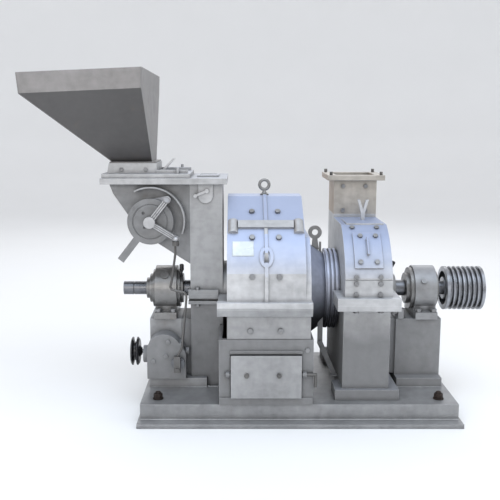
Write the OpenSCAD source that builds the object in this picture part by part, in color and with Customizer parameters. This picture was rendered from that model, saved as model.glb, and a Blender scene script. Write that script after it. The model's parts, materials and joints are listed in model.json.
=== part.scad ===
// Horizontal impact pulverizer on a fabricated bed: hopper and ratchet feeder on the left, hinged
// grinding chamber in the middle, classifier and built-in fan to its right, all on one shaft line.
// Origin: centre of the bed's underside. +X runs along the shaft to the belt pulley, +Y to the rear.

/* [Bed] */
// Length of the bed's top plate along the shaft
bed_length = 1194; // [1180:2:1240]
// Depth of the bed's top plate
bed_depth = 660; // [656:2:700]
// Height of the bed
bed_height = 75; // [65:1:85]
// Thickness of the bed's top plate and webs
bed_plate = 12; // [8:1:16]
// Reach of the bottom angle beyond the front and rear webs
bed_toe = 50; // [30:1:60]
// Thickness of the bottom angle's toe
bed_toe_thickness = 16; // [10:1:20]
// Foundation bolt spacing along the bed
anchor_span_x = 1070; // [1060:2:1090]
// Foundation bolt spacing across the bed
anchor_span_y = 534; // [520:2:560]
// Radius of a foundation bolt
anchor_radius = 10; // [8:0.5:12]

/* [Shaft line] */
// Height of the main shaft above the floor
shaft_height = 450; // [446:1:456]
// Radius of the main shaft between its bearings
shaft_radius = 32; // [28:1:36]
// Radius of the shaft in the bearings and at both free ends
journal_radius = 27; // [24:1:27]
// Running clearance of shafts in their seals, as a radius
seal_gap = 0.6; // [0.4:0.1:1]
// Running clearance of fitted pins and journals, as a radius
fit_gap = 0.05; // [0.03:0.01:0.08]
// Gap between parts that move past each other
run_gap = 1; // [0.6:0.1:2]

/* [Grinding chamber] */
// Centre of the grinding chamber along the shaft
chamber_x = -125.5; // [-128:0.5:-123]
// Width of the chamber between its side faces
chamber_width = 289; // [285:1:292]
// Half depth of the chamber's flat front and rear faces
chamber_half_depth = 333; // [331:1:340]
// Amount by which the shoulders' radius exceeds the half depth
shoulder_step = 22; // [18:1:26]
// Height of the upper casing's flat top
chamber_top = 830; // [826:1:836]
// Half depth of the upper casing's flat top
roof_half_depth = 58; // [50:1:66]
// Wall of the chamber's castings
chamber_wall = 15; // [12:1:16]
// Clearance between the liner's back and the front wall
liner_seat = 2; // [2:1:8]
// Thickness of the liner
liner_thickness = 12; // [8:1:14]
// Thickness of the upper split flange
upper_flange = 20; // [16:1:24]
// Thickness of the lower split flange
lower_flange = 32; // [28:1:36]
// Reach of the split flange beyond the casing's front face
flange_reach = 27; // [22:1:32]
// Overhang of the split flange beyond the casing's left side
flange_side = 36; // [30:1:40]
// Width of the casing's right end plate
end_plate = 20; // [16:1:22]
// Height at which the lower casing sits on the discharge frame
frame_top = 325; // [320:1:335]
// Width of the discharge frame's stiles
stile_width = 42; // [36:1:46]
// Overhang of the discharge frame beyond the chamber's sides
frame_side = 31; // [28:1:34]

/* [Discharge flap] */
// Height of the flap's lower edge above the floor
flap_bottom = 106; // [102:1:112]
// Height of the flap
flap_height = 163; // [150:1:166]
// Thickness of the flap plate
flap_plate = 6; // [4:1:8]
// Radius of the flap's pivot rod
flap_rod_radius = 6; // [5:0.5:7]
// Length of the rod's bent handle
flap_handle = 48; // [36:1:56]

/* [Rotor] */
// Radius of the rotor discs
disc_radius = 205; // [190:1:215]
// Thickness of a rotor disc
disc_thickness = 14; // [10:1:16]
// Number of hammer pins around the rotor
hammer_rows = 6; // [4:1:8]
// Clearance between the hammers' tips and the liner
tip_gap = 12; // [10:1:24]
// Width of a hammer along the shaft
hammer_width = 44; // [36:1:46]
// Radius of the fan wheel
fan_wheel_radius = 225; // [200:1:235]
// Number of fan blades
fan_blades = 8; // [6:1:10]

/* [Belt pulley] */
// Radius of the belt pulley
pulley_radius = 88; // [84:1:94]
// Width of the belt pulley
pulley_width = 152; // [148:1:158]
// Number of belt grooves
groove_count = 7; // [5:1:7]
// Spacing of the belt grooves
groove_pitch = 19; // [18:0.5:19.5]
// Depth of a belt groove
groove_depth = 12; // [10:1:14]

/* [Classifier] */
// Radius of the cone at the grinding chamber
cone_big_radius = 195; // [188:1:200]
// Radius of the cone's small end
cone_small_radius = 143; // [138:1:148]
// Length of the cone
cone_length = 72; // [66:1:76]
// Radius of the ribbed neck between cone and fan
neck_radius = 150; // [146:1:154]
// Radius of the neck's ribs
rib_radius = 162; // [157:1:166]
// Wall of the classifier casing
cone_wall = 10; // [8:1:12]

/* [Fan] */
// Left face of the fan housing along the shaft
fan_left = 167; // [165:1:169]
// Width of the fan housing
fan_width = 176; // [172:1:178]
// Half depth of the housing's flat front and rear faces
fan_half_depth = 289; // [286:1:294]
// Radius of the housing's curved shoulders
fan_radius = 305; // [300:1:310]
// Height of the housing's flat top
fan_top = 727; // [722:1:732]
// Half depth of the fan's pedestal
fan_ped_half_depth = 264; // [258:1:270]
// Wall of the fan castings
fan_wall = 12; // [10:1:14]
// Height of the fan's foot above the bed
fan_foot = 40; // [34:1:46]

/* [Outlet duct] */
// Front face of the outlet duct
duct_front = 110; // [106:1:114]
// Wall of the outlet duct
duct_wall = 8; // [6:1:10]
// Height of the outlet flange's top face
duct_top = 902; // [896:1:915]
// Thickness of the outlet flange
duct_flange = 21; // [16:1:24]
// Reach of the outlet flange beyond the duct
duct_flange_reach = 29; // [27:1:32]
// Radius of an outlet stud
outlet_stud_radius = 6; // [5:0.5:8]

/* [Bearings] */
// Outer radius of a bearing housing
bearing_housing_radius = 92; // [88:1:93]
// Length of a bearing housing along the shaft
bearing_housing_length = 87; // [84:1:90]
// Outer radius of a bearing
bearing_radius = 60; // [56:1:64]
// Width of a bearing
bearing_width = 40; // [34:1:44]
// Centre of the left bearing along the shaft
left_bearing_x = -518.5; // [-520:0.5:-516]
// Centre of the right bearing along the shaft
right_bearing_x = 518; // [516:0.5:520]
// Height of the pedestals' top faces
pedestal_top = 343; // [340:1:346]
// Height of the pedestals' feet above the bed
pedestal_foot = 37; // [32:1:40]
// Half depth of a pedestal
pedestal_half_depth = 90; // [86:1:94]
// Half depth of a pedestal's foot
foot_half_depth = 138; // [134:1:144]

/* [Inlet column] */
// Width of the inlet column along the shaft
column_width = 127; // [123:1:130]
// Half depth of the inlet column
column_half_depth = 112; // [108:1:114]
// Length of the inlet ring between column and chamber
inlet_ring = 20; // [18:1:24]
// Height of the feeder's top flange above the feed roll's axis
feeder_rise = 141; // [138:1:146]
// Wall of column and feeder
column_wall = 9; // [7:1:11]
// Thickness of the feeder's top flange
top_flange = 23; // [18:1:26]
// Reach of the top flange beyond column and feeder
top_flange_reach = 35; // [30:1:40]

/* [Feeder] */
// Distance of the feed roll's axis from the column's left face
roll_offset = 148; // [145:1:151]
// Height of the feed roll's axis above the main shaft
roll_rise = 292; // [289:1:295]
// Radius of the feed roll
roll_radius = 50; // [46:1:50]
// Outer radius of the feeder's trough
trough_radius = 64; // [62:1:66]
// Radius of the feed shaft
feed_shaft_radius = 15; // [13:1:16]
// Number of ratchet teeth
ratchet_teeth = 40; // [30:1:48]
// Radius of the ratchet teeth's tips
ratchet_radius = 74; // [70:1:76]
// Radius of the feed adjusting disc
shroud_radius = 88; // [84:1:90]
// Reach of the adjusting disc's hand lever
lever_reach = 190; // [170:1:200]
// Distance of the rocker's ball from the feed shaft
ball_reach = 117; // [112:1:120]
// Radius of the rocker's ball
ball_radius = 11; // [9:0.5:12]
// Distance of the pawl's pin from the feed shaft
pawl_reach = 110; // [107:1:112]
// Radius of the connecting rod
rod_radius = 4.5; // [3.5:0.5:5]

/* [Feed gearbox] */
// Height of the worm's axis
worm_height = 219; // [217:1:221]
// Distance between worm axis and crank axis
worm_centres = 33; // [32:0.5:34]
// Throw of the crank pin
crank_throw = 16; // [12:1:17]
// Radius of the gearbox pulley
gear_pulley_radius = 56; // [50:1:60]

/* [Hopper] */
// Length of the hopper's mouth
mouth_length = 445; // [420:1:470]
// Half depth of the hopper's mouth
mouth_half_depth = 300; // [280:1:320]
// Height of the mouth's rim at its right end
mouth_height = 1309; // [1290:1:1330]
// Drop of the rim towards its left end
mouth_drop = 19; // [0:1:24]
// Height of the upright band at the mouth
mouth_band = 73; // [60:1:80]
// Length of the throat
throat_length = 148; // [140:1:152]
// Half depth of the throat
throat_half_depth = 80; // [74:1:84]
// Thickness of the hopper's sheet
hopper_sheet = 4; // [3:0.5:5]

/* [Hidden] */

$fn = 96;
shaft_z = shaft_height;
roll_height = shaft_z + roll_rise;
feeder_top = roll_height + feeder_rise;
chamber_left = chamber_x - chamber_width / 2;
chamber_right = chamber_x + chamber_width / 2;
plate_right = chamber_right + end_plate;
flange_left = chamber_left - flange_side;
flange_right = plate_right + 4;
flange_front = chamber_half_depth + flange_reach;
cone_left = plate_right + 0.5;
cone_right = cone_left + cone_length;
shoulder_radius = chamber_half_depth + shoulder_step;
liner_radius = chamber_half_depth - chamber_wall - liner_seat;
liner_inner = liner_radius - liner_thickness;
hammer_tip = liner_inner - tip_gap;
eye_radius = 112;
roof_facet_low = 215;
facet_slope = (chamber_top - shaft_z - roof_low_z()) / (roof_facet_low - roof_half_depth);
frame_left = chamber_left - frame_side;
frame_right = chamber_right + frame_side;
frame_half_depth = chamber_half_depth - 3;
flap_rod_y = -frame_half_depth - flap_rod_radius - 1.5;
flap_rod_z = flap_bottom + 0.54 * flap_height;
flap_screws = [chamber_x - 72, chamber_x + 48];
hinge_y = flange_front + 22;
hinge_z = shaft_z;
hinge_pin_radius = 9;
hinge_places = [chamber_left + 40, chamber_right - 40];
swing_relief = sqrt(pow(hinge_y + column_half_depth + top_flange_reach, 2)
  + pow(feeder_top + top_flange + 3 - hinge_z, 2)) - hinge_y;

fan_right = fan_left + fan_width;
fan_flange_left = fan_left - 29;
fan_flange_right = fan_right + 29;
fan_flange_front = fan_half_depth + 29;
fan_inner = fan_radius - 30;
seal_radius = 78;
seal_length = 38;
duct_left = fan_left;
duct_right = fan_right;
duct_back = fan_half_depth;
duct_base = fan_top + 13;

column_right = chamber_left - inlet_ring;
column_left = column_right - column_width;
column_front = -column_half_depth;
column_split = shaft_z;
column_reach = 18;
inlet_radius = eye_radius - 11;
sight_x = column_left + 62;
sight_z = feeder_top - 47;
latch_x = sight_x + 5;
latch_z = sight_z + 20;
latch_angle = 203;
latch_reach = 48;
bed_top = bed_height;
foot_top = bed_top + pedestal_foot;

left_housing = [left_bearing_x - bearing_housing_length / 2, left_bearing_x + bearing_housing_length / 2];
right_housing = [right_bearing_x - bearing_housing_length / 2, right_bearing_x + bearing_housing_length / 2];
left_ped = [left_bearing_x - 63.5, left_bearing_x + 61];
gland_ring = 60;
left_foot_right = column_right - 64;
right_ped = [fan_right + 41, right_bearing_x + 62];

roll_x = column_left - roll_offset;
feeder_left = roll_x - 161;
feeder_sill = roll_height - 172;
guard_radius = 126;
ratchet_y = [column_front - 34, column_front - 20];
shroud_y = [column_front - 50, column_front - 38];
rocker_y = [column_front - 78, column_front - 64];
ball_y = column_front - 91;
ball_angle = -31.8;
pawl_angle = 51.7;
lever_angle = -127.8;
ball_x = roll_x + ball_reach * cos(ball_angle);
ball_z = roll_height + ball_reach * sin(ball_angle);
pawl_x = roll_x + pawl_reach * cos(pawl_angle);
pawl_z = roll_height + pawl_reach * sin(pawl_angle);

crank_x = ball_x;
crank_z = worm_height - worm_centres;
worm_y = -pedestal_half_depth - 30;
gearbox_front = -pedestal_half_depth - 62;
gearbox_lid = 10;
gear_pulley_left = left_ped[0] - 73;
crank_disc_y = [gearbox_front - gearbox_lid - 16, gearbox_front - gearbox_lid - 4];

throat_right = column_left - 146;
throat_left = throat_right - throat_length;
mouth_right = throat_right - 5;
mouth_left = mouth_right - mouth_length;
gate_z = feeder_top + top_flange + 16;
gate_half_depth = throat_half_depth + 8;
collar_half_depth = throat_half_depth + 20;
collar_top = gate_z + 39;

pulley_left = right_housing[1] + 41.5;
pulley_right = pulley_left + pulley_width;
stub_left = left_housing[0] - 133;

function roof_low_z() = sqrt(pow(shoulder_radius, 2) - pow(roof_facet_low, 2));
function hammer_x(i) = chamber_x - 62 + i * 62;

// Basic solids: a box between two corners, and cylinders along each axis
module block(x, y, z) {
  translate([x[0], y[0], z[0]])
    cube([x[1] - x[0], y[1] - y[0], z[1] - z[0]]);
}
module rod_x(x, r, y = 0, z = shaft_z) {
  translate([x[0], y, z])
    rotate([0, 90, 0])
      cylinder(h = x[1] - x[0], r = r);
}
module rod_y(y, r, x, z) {
  translate([x, y[0], z])
    rotate([-90, 0, 0])
      cylinder(h = y[1] - y[0], r = r);
}
module rod_z(z, r, x, y) {
  translate([x, y, z[0]])
    cylinder(h = z[1] - z[0], r = r);
}
module ring_x(x, r_out, r_in, y = 0, z = shaft_z) {
  difference() {
    rod_x(x, r_out, y, z);
    rod_x([x[0] - 1, x[1] + 1], r_in, y, z);
  }
}
// A profile drawn in Y and Z about the shaft line, drawn out along X
module along_x(x) {
  translate([x[0], 0, shaft_z])
    rotate([90, 0, 90])
      linear_extrude(x[1] - x[0])
        children();
}
// A profile drawn in X and Z, drawn out along Y
module along_y(y) {
  translate([0, y[1], 0])
    rotate([90, 0, 0])
      linear_extrude(y[1] - y[0])
        children();
}
// A hexagon nut or bolt head with its axis along Z, standing on the plane z = 0
module hex_head(across, height) {
  cylinder(h = height, r = across / sqrt(3), $fn = 6);
}
// A bolt head on a front face, facing -Y
module front_bolt(x, y, z, across = 19, height = 9) {
  translate([x, y, z])
    rotate([90, 0, 0])
      hex_head(across, height);
}
// The same at a place on a shoulder, at an angle above the horizontal
module shoulder_bolt(x, radius, angle, across = 19, height = 9) {
  translate([x, 0, shaft_z])
    rotate([-angle, 0, 0])
      translate([0, -radius, 0])
        rotate([90, 0, 0])
          hex_head(across, height);
}

// Bed and foundation
module bed_frame() {
  half_l = bed_length / 2;
  half_d = bed_depth / 2;
  bay = (bed_length - bed_plate) / 4;
  color("silver")
    difference() {
      union() {
        block([-half_l, half_l], [-half_d, half_d], [0, bed_top]);
        block([-half_l - 8, half_l + 8], [-half_d - bed_toe, half_d + bed_toe], [0, bed_toe_thickness]);
      }
      for (i = [0:3])
        block([-half_l + bed_plate + i * bay, -half_l + (i + 1) * bay],
          [-half_d + bed_plate, half_d - bed_plate], [-1, bed_top - bed_plate]);
      for (x = [-1, 1], y = [-1, 1])
        rod_z([-1, bed_top + 1], anchor_radius + 1, x * anchor_span_x / 2, y * anchor_span_y / 2);
    }
}
module foundation_bolts() {
  washer = 4;
  nut = 18;
  color("#2b211d")
    for (x = [-1, 1], y = [-1, 1])
      translate([x * anchor_span_x / 2, y * anchor_span_y / 2, 0]) {
        rod_z([0.5, bed_top + washer + nut + 7], anchor_radius, 0, 0);
        difference() {
          rod_z([bed_top, bed_top + washer], 2 * anchor_radius, 0, 0);
          rod_z([0, bed_top + washer + 1], anchor_radius, 0, 0);
        }
        difference() {
          translate([0, 0, bed_top + washer])
            hex_head(3 * anchor_radius, nut);
          rod_z([0, bed_top + washer + nut + 1], anchor_radius, 0, 0);
        }
      }
}

// Grinding chamber
module chamber_outline() {
  low = roof_low_z();
  top = chamber_top - shaft_z;
  intersection() {
    circle(r = shoulder_radius);
    translate([-chamber_half_depth, 0])
      square([2 * chamber_half_depth, low]);
  }
  polygon([[-roof_facet_low, low], [-roof_half_depth, top], [roof_half_depth, top], [roof_facet_low, low]]);
}
module chamber_hollow() {
  low = roof_low_z() - 0.43 * chamber_wall;
  top = chamber_top - shaft_z - chamber_wall;
  half_low = roof_facet_low - 1.47 * chamber_wall;
  half_top = roof_half_depth - chamber_wall / 2;
  circle(r = liner_radius);
  polygon([[-half_low, 0], [-half_low, low], [-half_top, top], [half_top, top], [half_low, low],
    [half_low, 0]]);
}
module lower_casing_outline() {
  ledge = frame_top - shaft_z;
  half = chamber_half_depth - 8;
  translate([-half, ledge])
    square([2 * half, -ledge]);
  intersection() {
    circle(r = liner_radius + chamber_wall);
    translate([-half, -half])
      square([2 * half, half - 1]);
  }
}
// The flange that runs round the split, kept clear of the column and of the cone
module split_flange_relief() {
  block([flange_left - 1, chamber_left], [-column_half_depth - 5, column_half_depth + 5], [0, 2 * shaft_z]);
  block([plate_right, flange_right + 1], [-cone_big_radius - 6, cone_big_radius + 6], [0, 2 * shaft_z]);
}
module tramp_opening() {
  block([chamber_left + 40, chamber_right - 40], [-340, -170], [160, 212]);
}
module discharge_frame() {
  left = frame_left;
  right = frame_right;
  half = frame_half_depth;
  lug = 14;
  color("silver")
    difference() {
      union() {
        block([left, right], [-half, half], [bed_top, frame_top]);
        block([left + stile_width, right - stile_width], [-half - 7, -half + 1],
          [flap_bottom + flap_height + 3, flap_bottom + flap_height + 15]);
        block([left + 2, right - 2], [-half - 6, -half + 1], [bed_top, flap_bottom - 3]);
        for (x = [left + stile_width - lug - 2, right - stile_width + 2]) {
          rod_x([x, x + lug], flap_rod_radius + 5, flap_rod_y, flap_rod_z);
          block([x, x + lug], [flap_rod_y, -half + 1], [flap_rod_z - 11, flap_rod_z + 11]);
        }
      }
      block([left + bed_plate, right - bed_plate], [-half + 20, half - bed_plate],
        [bed_top - 1, frame_top + 1]);
      block([left + stile_width, right - stile_width], [-half - 10, -half + 30],
        [flap_bottom - 3, flap_bottom + flap_height + 3]);
      flap_rod_bore();
      rod_x([chamber_right + 8, frame_right + 1], cone_big_radius + 1);
    }
}
// Bore in which the flap's rod turns
module flap_rod_bore() {
  rod_x([frame_left - 1, frame_right + 1], flap_rod_radius + fit_gap, flap_rod_y, flap_rod_z);
}
module lower_casing() {
  flange_low = -lower_flange;
  color("silver")
    difference() {
      union() {
        along_x([chamber_left, chamber_right])
          lower_casing_outline();
        block([chamber_right, plate_right], [-chamber_half_depth + 8, chamber_half_depth - 8],
          [frame_top, shaft_z]);
        along_x([flange_left, flange_right])
          polygon([[-flange_front, 0], [-flange_front, -8], [-flange_front + 10, flange_low],
            [flange_front - 10, flange_low], [flange_front, -8], [flange_front, 0]]);
        cover_hinge_ears(0);
      }
      along_x([chamber_left + chamber_wall, chamber_right])
        circle(r = liner_radius);
      rod_x([chamber_left - 1, chamber_left + chamber_wall + 1], eye_radius);
      rod_x([chamber_right - 1, plate_right + 1], neck_radius);
      split_flange_relief();
      tramp_opening();
      cover_hinge_bores();
    }
}
module liner_ring() {
  difference() {
    circle(r = liner_radius - fit_gap);
    circle(r = liner_inner);
    for (i = [0:35])
      rotate(i * 10 + 5)
        translate([liner_inner - 1, -5])
          square([5, 10]);
  }
}
module lower_liner() {
  color("dimgray")
    difference() {
      along_x([chamber_left + chamber_wall + 0.5, chamber_right - 0.5])
        intersection() {
          liner_ring();
          translate([-liner_radius, -liner_radius])
            square([2 * liner_radius, liner_radius - 0.5]);
        }
      tramp_opening();
    }
}
module upper_liner() {
  color("dimgray")
    along_x([chamber_left + chamber_wall + 0.5, chamber_right - chamber_wall - 0.5])
      intersection() {
        liner_ring();
        translate([-liner_radius, 0.9])
          square([2 * liner_radius, liner_radius]);
      }
}
module cover_hinge_ears(side) {
  for (x = hinge_places)
    for (s = side == 0 ? [-1, 1] : [0])
      translate([x + s * 17, 0, 0])
        difference() {
          union() {
            rod_x([-8, 8], hinge_pin_radius + 11, hinge_y, hinge_z);
            block([-8, 8], [flange_front - 12, hinge_y],
              side == 0 ? [hinge_z - lower_flange, hinge_z - 1.5] : [hinge_z + 1.5, hinge_z + upper_flange]);
          }
          if (side == 0)
            block([-9, 9], [flange_front - 14, flange_front + 1], [hinge_z - 1, hinge_z + 40]);
          if (side == 1)
            block([-9, 9], [flange_front - 14, flange_front + 1], [hinge_z - 40, hinge_z + 1]);
        }
}
module cover_hinge_bores() {
  for (x = hinge_places)
    rod_x([x - 40, x + 40], hinge_pin_radius + fit_gap, hinge_y, hinge_z);
}
module cover_hinge_pins() {
  color("gray")
    for (x = hinge_places) {
      rod_x([x - 30, x + 30], hinge_pin_radius, hinge_y, hinge_z);
      rod_x([x - 35, x - 25.5], hinge_pin_radius + 5, hinge_y, hinge_z);
    }
}
module upper_casing() {
  band_angle = 53;
  rib = 13;
  color("silver")
    difference() {
      union() {
        difference() {
          union() {
            along_x([chamber_left, chamber_right])
              chamber_outline();
            along_x([chamber_right, plate_right])
              intersection() {
                circle(r = chamber_half_depth);
                translate([-chamber_half_depth, 0])
                  square([2 * chamber_half_depth, 242]);
              }
            block([flange_left, flange_right], [-flange_front, flange_front],
              [shaft_z, shaft_z + upper_flange]);
          }
          along_x([chamber_left + chamber_wall, chamber_right - chamber_wall])
            chamber_hollow();
          rod_x([chamber_left - 1, chamber_left + chamber_wall + 1], eye_radius);
          rod_x([chamber_right - chamber_wall - 1, plate_right + 1], neck_radius);
          split_flange_relief();
          block([flange_left - 1, chamber_left], [-swing_relief, column_half_depth + 5], [0, 2 * shaft_z]);
        }
        cover_band(band_angle);
        cover_rib(rib);
        cover_hinge_ears(1);
      }
      block([flange_left - 1, flange_right + 1], [-flange_front - 1, flange_front + 1], [0, shaft_z + 0.4]);
      block([chamber_x - 8, chamber_x + 8], [-380, -302], [shaft_z + 162, shaft_z + 202]);
      cover_hinge_bores();
    }
}
// Cast band across the front shoulder with a boss at each end
module cover_band(angle) {
  translate([0, 0, shaft_z])
    rotate([-angle, 0, 0]) {
      block([chamber_left + 40, chamber_right - 40], [-shoulder_radius - 9, -shoulder_radius + 12],
        [-15, 22]);
      for (x = [[chamber_left + 1, chamber_left + 42], [chamber_right - 42, chamber_right - 1]])
        difference() {
          translate([(x[0] + x[1]) / 2, -shoulder_radius + 8, -38])
            cylinder(h = 66, r = (x[1] - x[0]) / 2);
          block([x[0] - 1, x[1] + 1], [-shoulder_radius + 18, -shoulder_radius + 40], [-40, 40]);
        }
    }
}
// Upright rib down the middle of the front, widened round a slot at eye level
module cover_rib(width) {
  half = width / 2;
  along_x([chamber_x - half, chamber_x + half]) {
    difference() {
      intersection() {
        circle(r = shoulder_radius + 5);
        translate([-chamber_half_depth - 9, upper_flange - 1])
          square([chamber_half_depth, roof_low_z()]);
      }
      translate([-chamber_half_depth + 8, 0])
        square([chamber_half_depth, 101]);
      intersection() {
        circle(r = shoulder_radius - 12);
        translate([-shoulder_radius, 100])
          square([shoulder_radius, shoulder_radius]);
      }
    }
    polygon([[-roof_facet_low - 2, roof_low_z() + 6], [-roof_half_depth - 2, chamber_top - shaft_z + 6],
      [-roof_half_depth + 16, chamber_top - shaft_z + 6], [-roof_half_depth + 16, chamber_top - shaft_z - 3],
      [-roof_facet_low + 8, roof_low_z() - 6]]);
  }
  intersection() {
    translate([chamber_x, 0, 0])
      along_y([-shoulder_radius - 10, -290])
        translate([0, shaft_z + 182])
          difference() {
            scale([0.72, 1])
              circle(r = 36);
            scale([0.55, 1])
              circle(r = 25);
          }
    along_x([chamber_x - 40, chamber_x + 40])
      difference() {
        circle(r = shoulder_radius + 5);
        circle(r = shoulder_radius - 12);
      }
  }
}
module liner_bolts() {
  color("#4a4a48")
    for (side = [0, 180])
      translate([0, 0, shaft_z])
        rotate([0, 0, side])
          translate([side == 0 ? 0 : -2 * chamber_x, 0, -shaft_z])
            for (x = [chamber_x - 52, chamber_x + 47]) {
              front_bolt(x, -chamber_half_depth, shaft_z + 112);
              shoulder_bolt(x, shoulder_radius, 43.5);
              translate([x, -roof_half_depth - 85, roof_bolt_z()])
                rotate([facet_tilt(), 0, 0])
                  hex_head(19, 9);
            }
}
function facet_tilt() = atan(facet_slope);
function roof_bolt_z() = chamber_top - 85 * facet_slope;
module lifting_eyebolt() {
  ring = 19;
  wire = 6;
  base = chamber_top;
  color("silver") {
    rod_z([base, base + 5], 17, chamber_x, 0);
    rod_z([base + 4, base + 26], wire, chamber_x, 0);
    translate([chamber_x, 0, base + 22 + ring])
      rotate([90, 0, 0])
        rotate_extrude()
          translate([ring, 0])
            circle(r = wire, $fn = 32);
  }
}
module nameplate() {
  place = [chamber_left + 20, chamber_left + 98];
  angle = 36;
  color("gainsboro")
    intersection() {
      along_x(place)
        difference() {
          circle(r = shoulder_radius + 2);
          circle(r = shoulder_radius);
        }
      translate([0, 0, shaft_z])
        rotate([-angle, 0, 0])
          block([place[0] - 1, place[1] + 1], [-2 * shoulder_radius, 0], [-30, 30]);
    }
}

// Discharge flap
module flap_door() {
  gap = 2.5;
  half = flap_plate / 2;
  front = flap_rod_y - flap_rod_radius - flap_plate;
  color("silver")
    difference() {
      block([frame_left + stile_width + gap, frame_right - stile_width - gap], [front, front + flap_plate],
        [flap_bottom, flap_bottom + flap_height]);
      for (x = flap_screws)
        rod_y([front - 1, front + flap_plate + 1], half + fit_gap, x, flap_rod_z);
    }
}
module flap_rod() {
  tip = frame_right + flap_rod_radius + 2;
  front = flap_rod_y - flap_rod_radius - flap_plate;
  color("dimgray") {
    rod_x([frame_left + stile_width - 20, tip], flap_rod_radius, flap_rod_y, flap_rod_z);
    rod_z([flap_rod_z - flap_handle, flap_rod_z], flap_rod_radius, tip, flap_rod_y);
    translate([tip, flap_rod_y, flap_rod_z])
      sphere(r = flap_rod_radius);
    for (x = flap_screws) {
      rod_y([front - 1, flap_rod_y], flap_plate / 2, x, flap_rod_z);
      front_bolt(x, front, flap_rod_z, 16, 8);
    }
  }
}

// Classifier between chamber and fan
module cone_shell(inset) {
  translate([cone_left, 0, shaft_z])
    rotate([0, 90, 0])
      cylinder(h = cone_length, r1 = cone_big_radius - inset, r2 = cone_small_radius - inset);
}
module classifier_cone() {
  lug_x = cone_left + 0.56 * cone_length;
  lug_z = shaft_z + 229;
  color("lightslategray")
    difference() {
      union() {
        cone_shell(0);
        along_y([-7, 7])
          difference() {
            union() {
              translate([lug_x, lug_z])
                circle(r = 27);
              polygon([[lug_x - 13, lug_z - 70], [lug_x + 17, lug_z - 70], [lug_x + 9, lug_z - 20],
                [lug_x - 9, lug_z - 20]]);
            }
            translate([lug_x, lug_z])
              circle(r = 12.5);
          }
        block([cone_right - 14, cone_right - 6], [-5, 5], [shaft_z + cone_small_radius, shaft_z + 190]);
      }
      cone_shell(cone_wall);
      rod_x([cone_left - 1, cone_left + 0.01], cone_big_radius - cone_wall);
      rod_x([cone_right - 0.01, cone_right + 1], cone_small_radius - cone_wall);
    }
}
module classifier_neck() {
  span = fan_left - cone_right;
  color("lightslategray")
    difference() {
      union() {
        rod_x([cone_right, fan_left], neck_radius);
        for (i = [0:2])
          rod_x([cone_right + span * (0.1 + i * 0.3), cone_right + span * (0.26 + i * 0.3)], rib_radius);
      }
      rod_x([cone_right - 1, fan_left + 1], cone_small_radius - cone_wall);
    }
}
// Stay that props the cone from the fan's foot
module classifier_stay() {
  foot_z = bed_top + fan_foot;
  top_x = cone_right - 16;
  color("gray")
    difference() {
      union() {
        block([fan_flange_left + 1, fan_left - 1], [-126, -90], [foot_z, foot_z + 6]);
        along_y([-113, -105])
          polygon([[fan_flange_left + 6, foot_z + 5], [fan_flange_left + 26, foot_z + 5],
            [top_x + 10, foot_z + 140], [top_x + 10, foot_z + 260], [top_x - 10, foot_z + 260],
            [top_x - 10, foot_z + 132]]);
        rod_y([-122, -100], 9, top_x, foot_z + 136);
      }
      cone_shell(0);
    }
}

// Built-in fan
module fan_outline() {
  intersection() {
    circle(r = fan_radius);
    translate([-fan_half_depth, 0])
      square([2 * fan_half_depth, fan_top - shaft_z]);
  }
}
module fan_bores(scroll) {
  rod_x([fan_left + fan_wall, fan_right - fan_wall], scroll);
  rod_x([fan_left - 1, fan_left + fan_wall + 1], cone_small_radius - cone_wall);
  rod_x([fan_right - fan_wall - 1, fan_right + 1], shaft_radius + seal_gap);
}
module fan_flange_relief() {
  block([fan_flange_left - 1, fan_left], [-rib_radius - 4, rib_radius + 4], [0, 2 * shaft_z]);
  block([fan_right, fan_flange_right + 1], [-seal_radius - 0.5, seal_radius + 0.5],
    [shaft_z - 30, shaft_z + 40]);
}
module fan_lower_housing() {
  foot_z = bed_top + fan_foot;
  foot_half = fan_ped_half_depth + 20;
  color("silver")
    difference() {
      union() {
        block([fan_left, fan_right], [-fan_ped_half_depth, fan_ped_half_depth], [foot_z, shaft_z - 21]);
        block([fan_flange_left, fan_right + 37], [-foot_half, foot_half], [bed_top, foot_z]);
        block([fan_flange_left, fan_flange_right], [-fan_flange_front, fan_flange_front],
          [shaft_z - 21, shaft_z]);
      }
      fan_bores(fan_ped_half_depth - fan_wall);
      fan_flange_relief();
    }
}
module fan_upper_housing() {
  hook_x = fan_left + 100;
  color("lightsteelblue")
    difference() {
      union() {
        along_x([fan_left, fan_right])
          fan_outline();
        block([fan_flange_left, fan_flange_right], [-fan_flange_front, fan_flange_front],
          [shaft_z, shaft_z + 26]);
        block([fan_left, fan_right], [duct_front, duct_back], [shaft_z + 60, duct_base]);
        block([fan_left + 22, fan_right - 12], [-130, 20], [fan_top - 4, fan_top + 5]);
        along_y([-28, -16])
          polygon([[hook_x - 7, fan_top], [hook_x + 7, fan_top], [hook_x + 7, fan_top + 30],
            [hook_x + 22, fan_top + 85], [hook_x + 12, fan_top + 85], [hook_x, fan_top + 48],
            [hook_x - 12, fan_top + 85], [hook_x - 22, fan_top + 85], [hook_x - 7, fan_top + 30]]);
      }
      block([fan_flange_left - 1, fan_flange_right + 1], [-2 * fan_half_depth, 2 * fan_half_depth],
        [0, shaft_z]);
      fan_bores(fan_inner);
      fan_flange_relief();
      block([duct_left + fan_wall, duct_right - fan_wall], [duct_front + duct_wall, duct_back - fan_wall],
        [shaft_z, duct_base + 1]);
      block([fan_left - 1, fan_right + 1], [-fan_half_depth - 1, -fan_half_depth + 2],
        [shaft_z + 89, shaft_z + 92]);
    }
}
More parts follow.
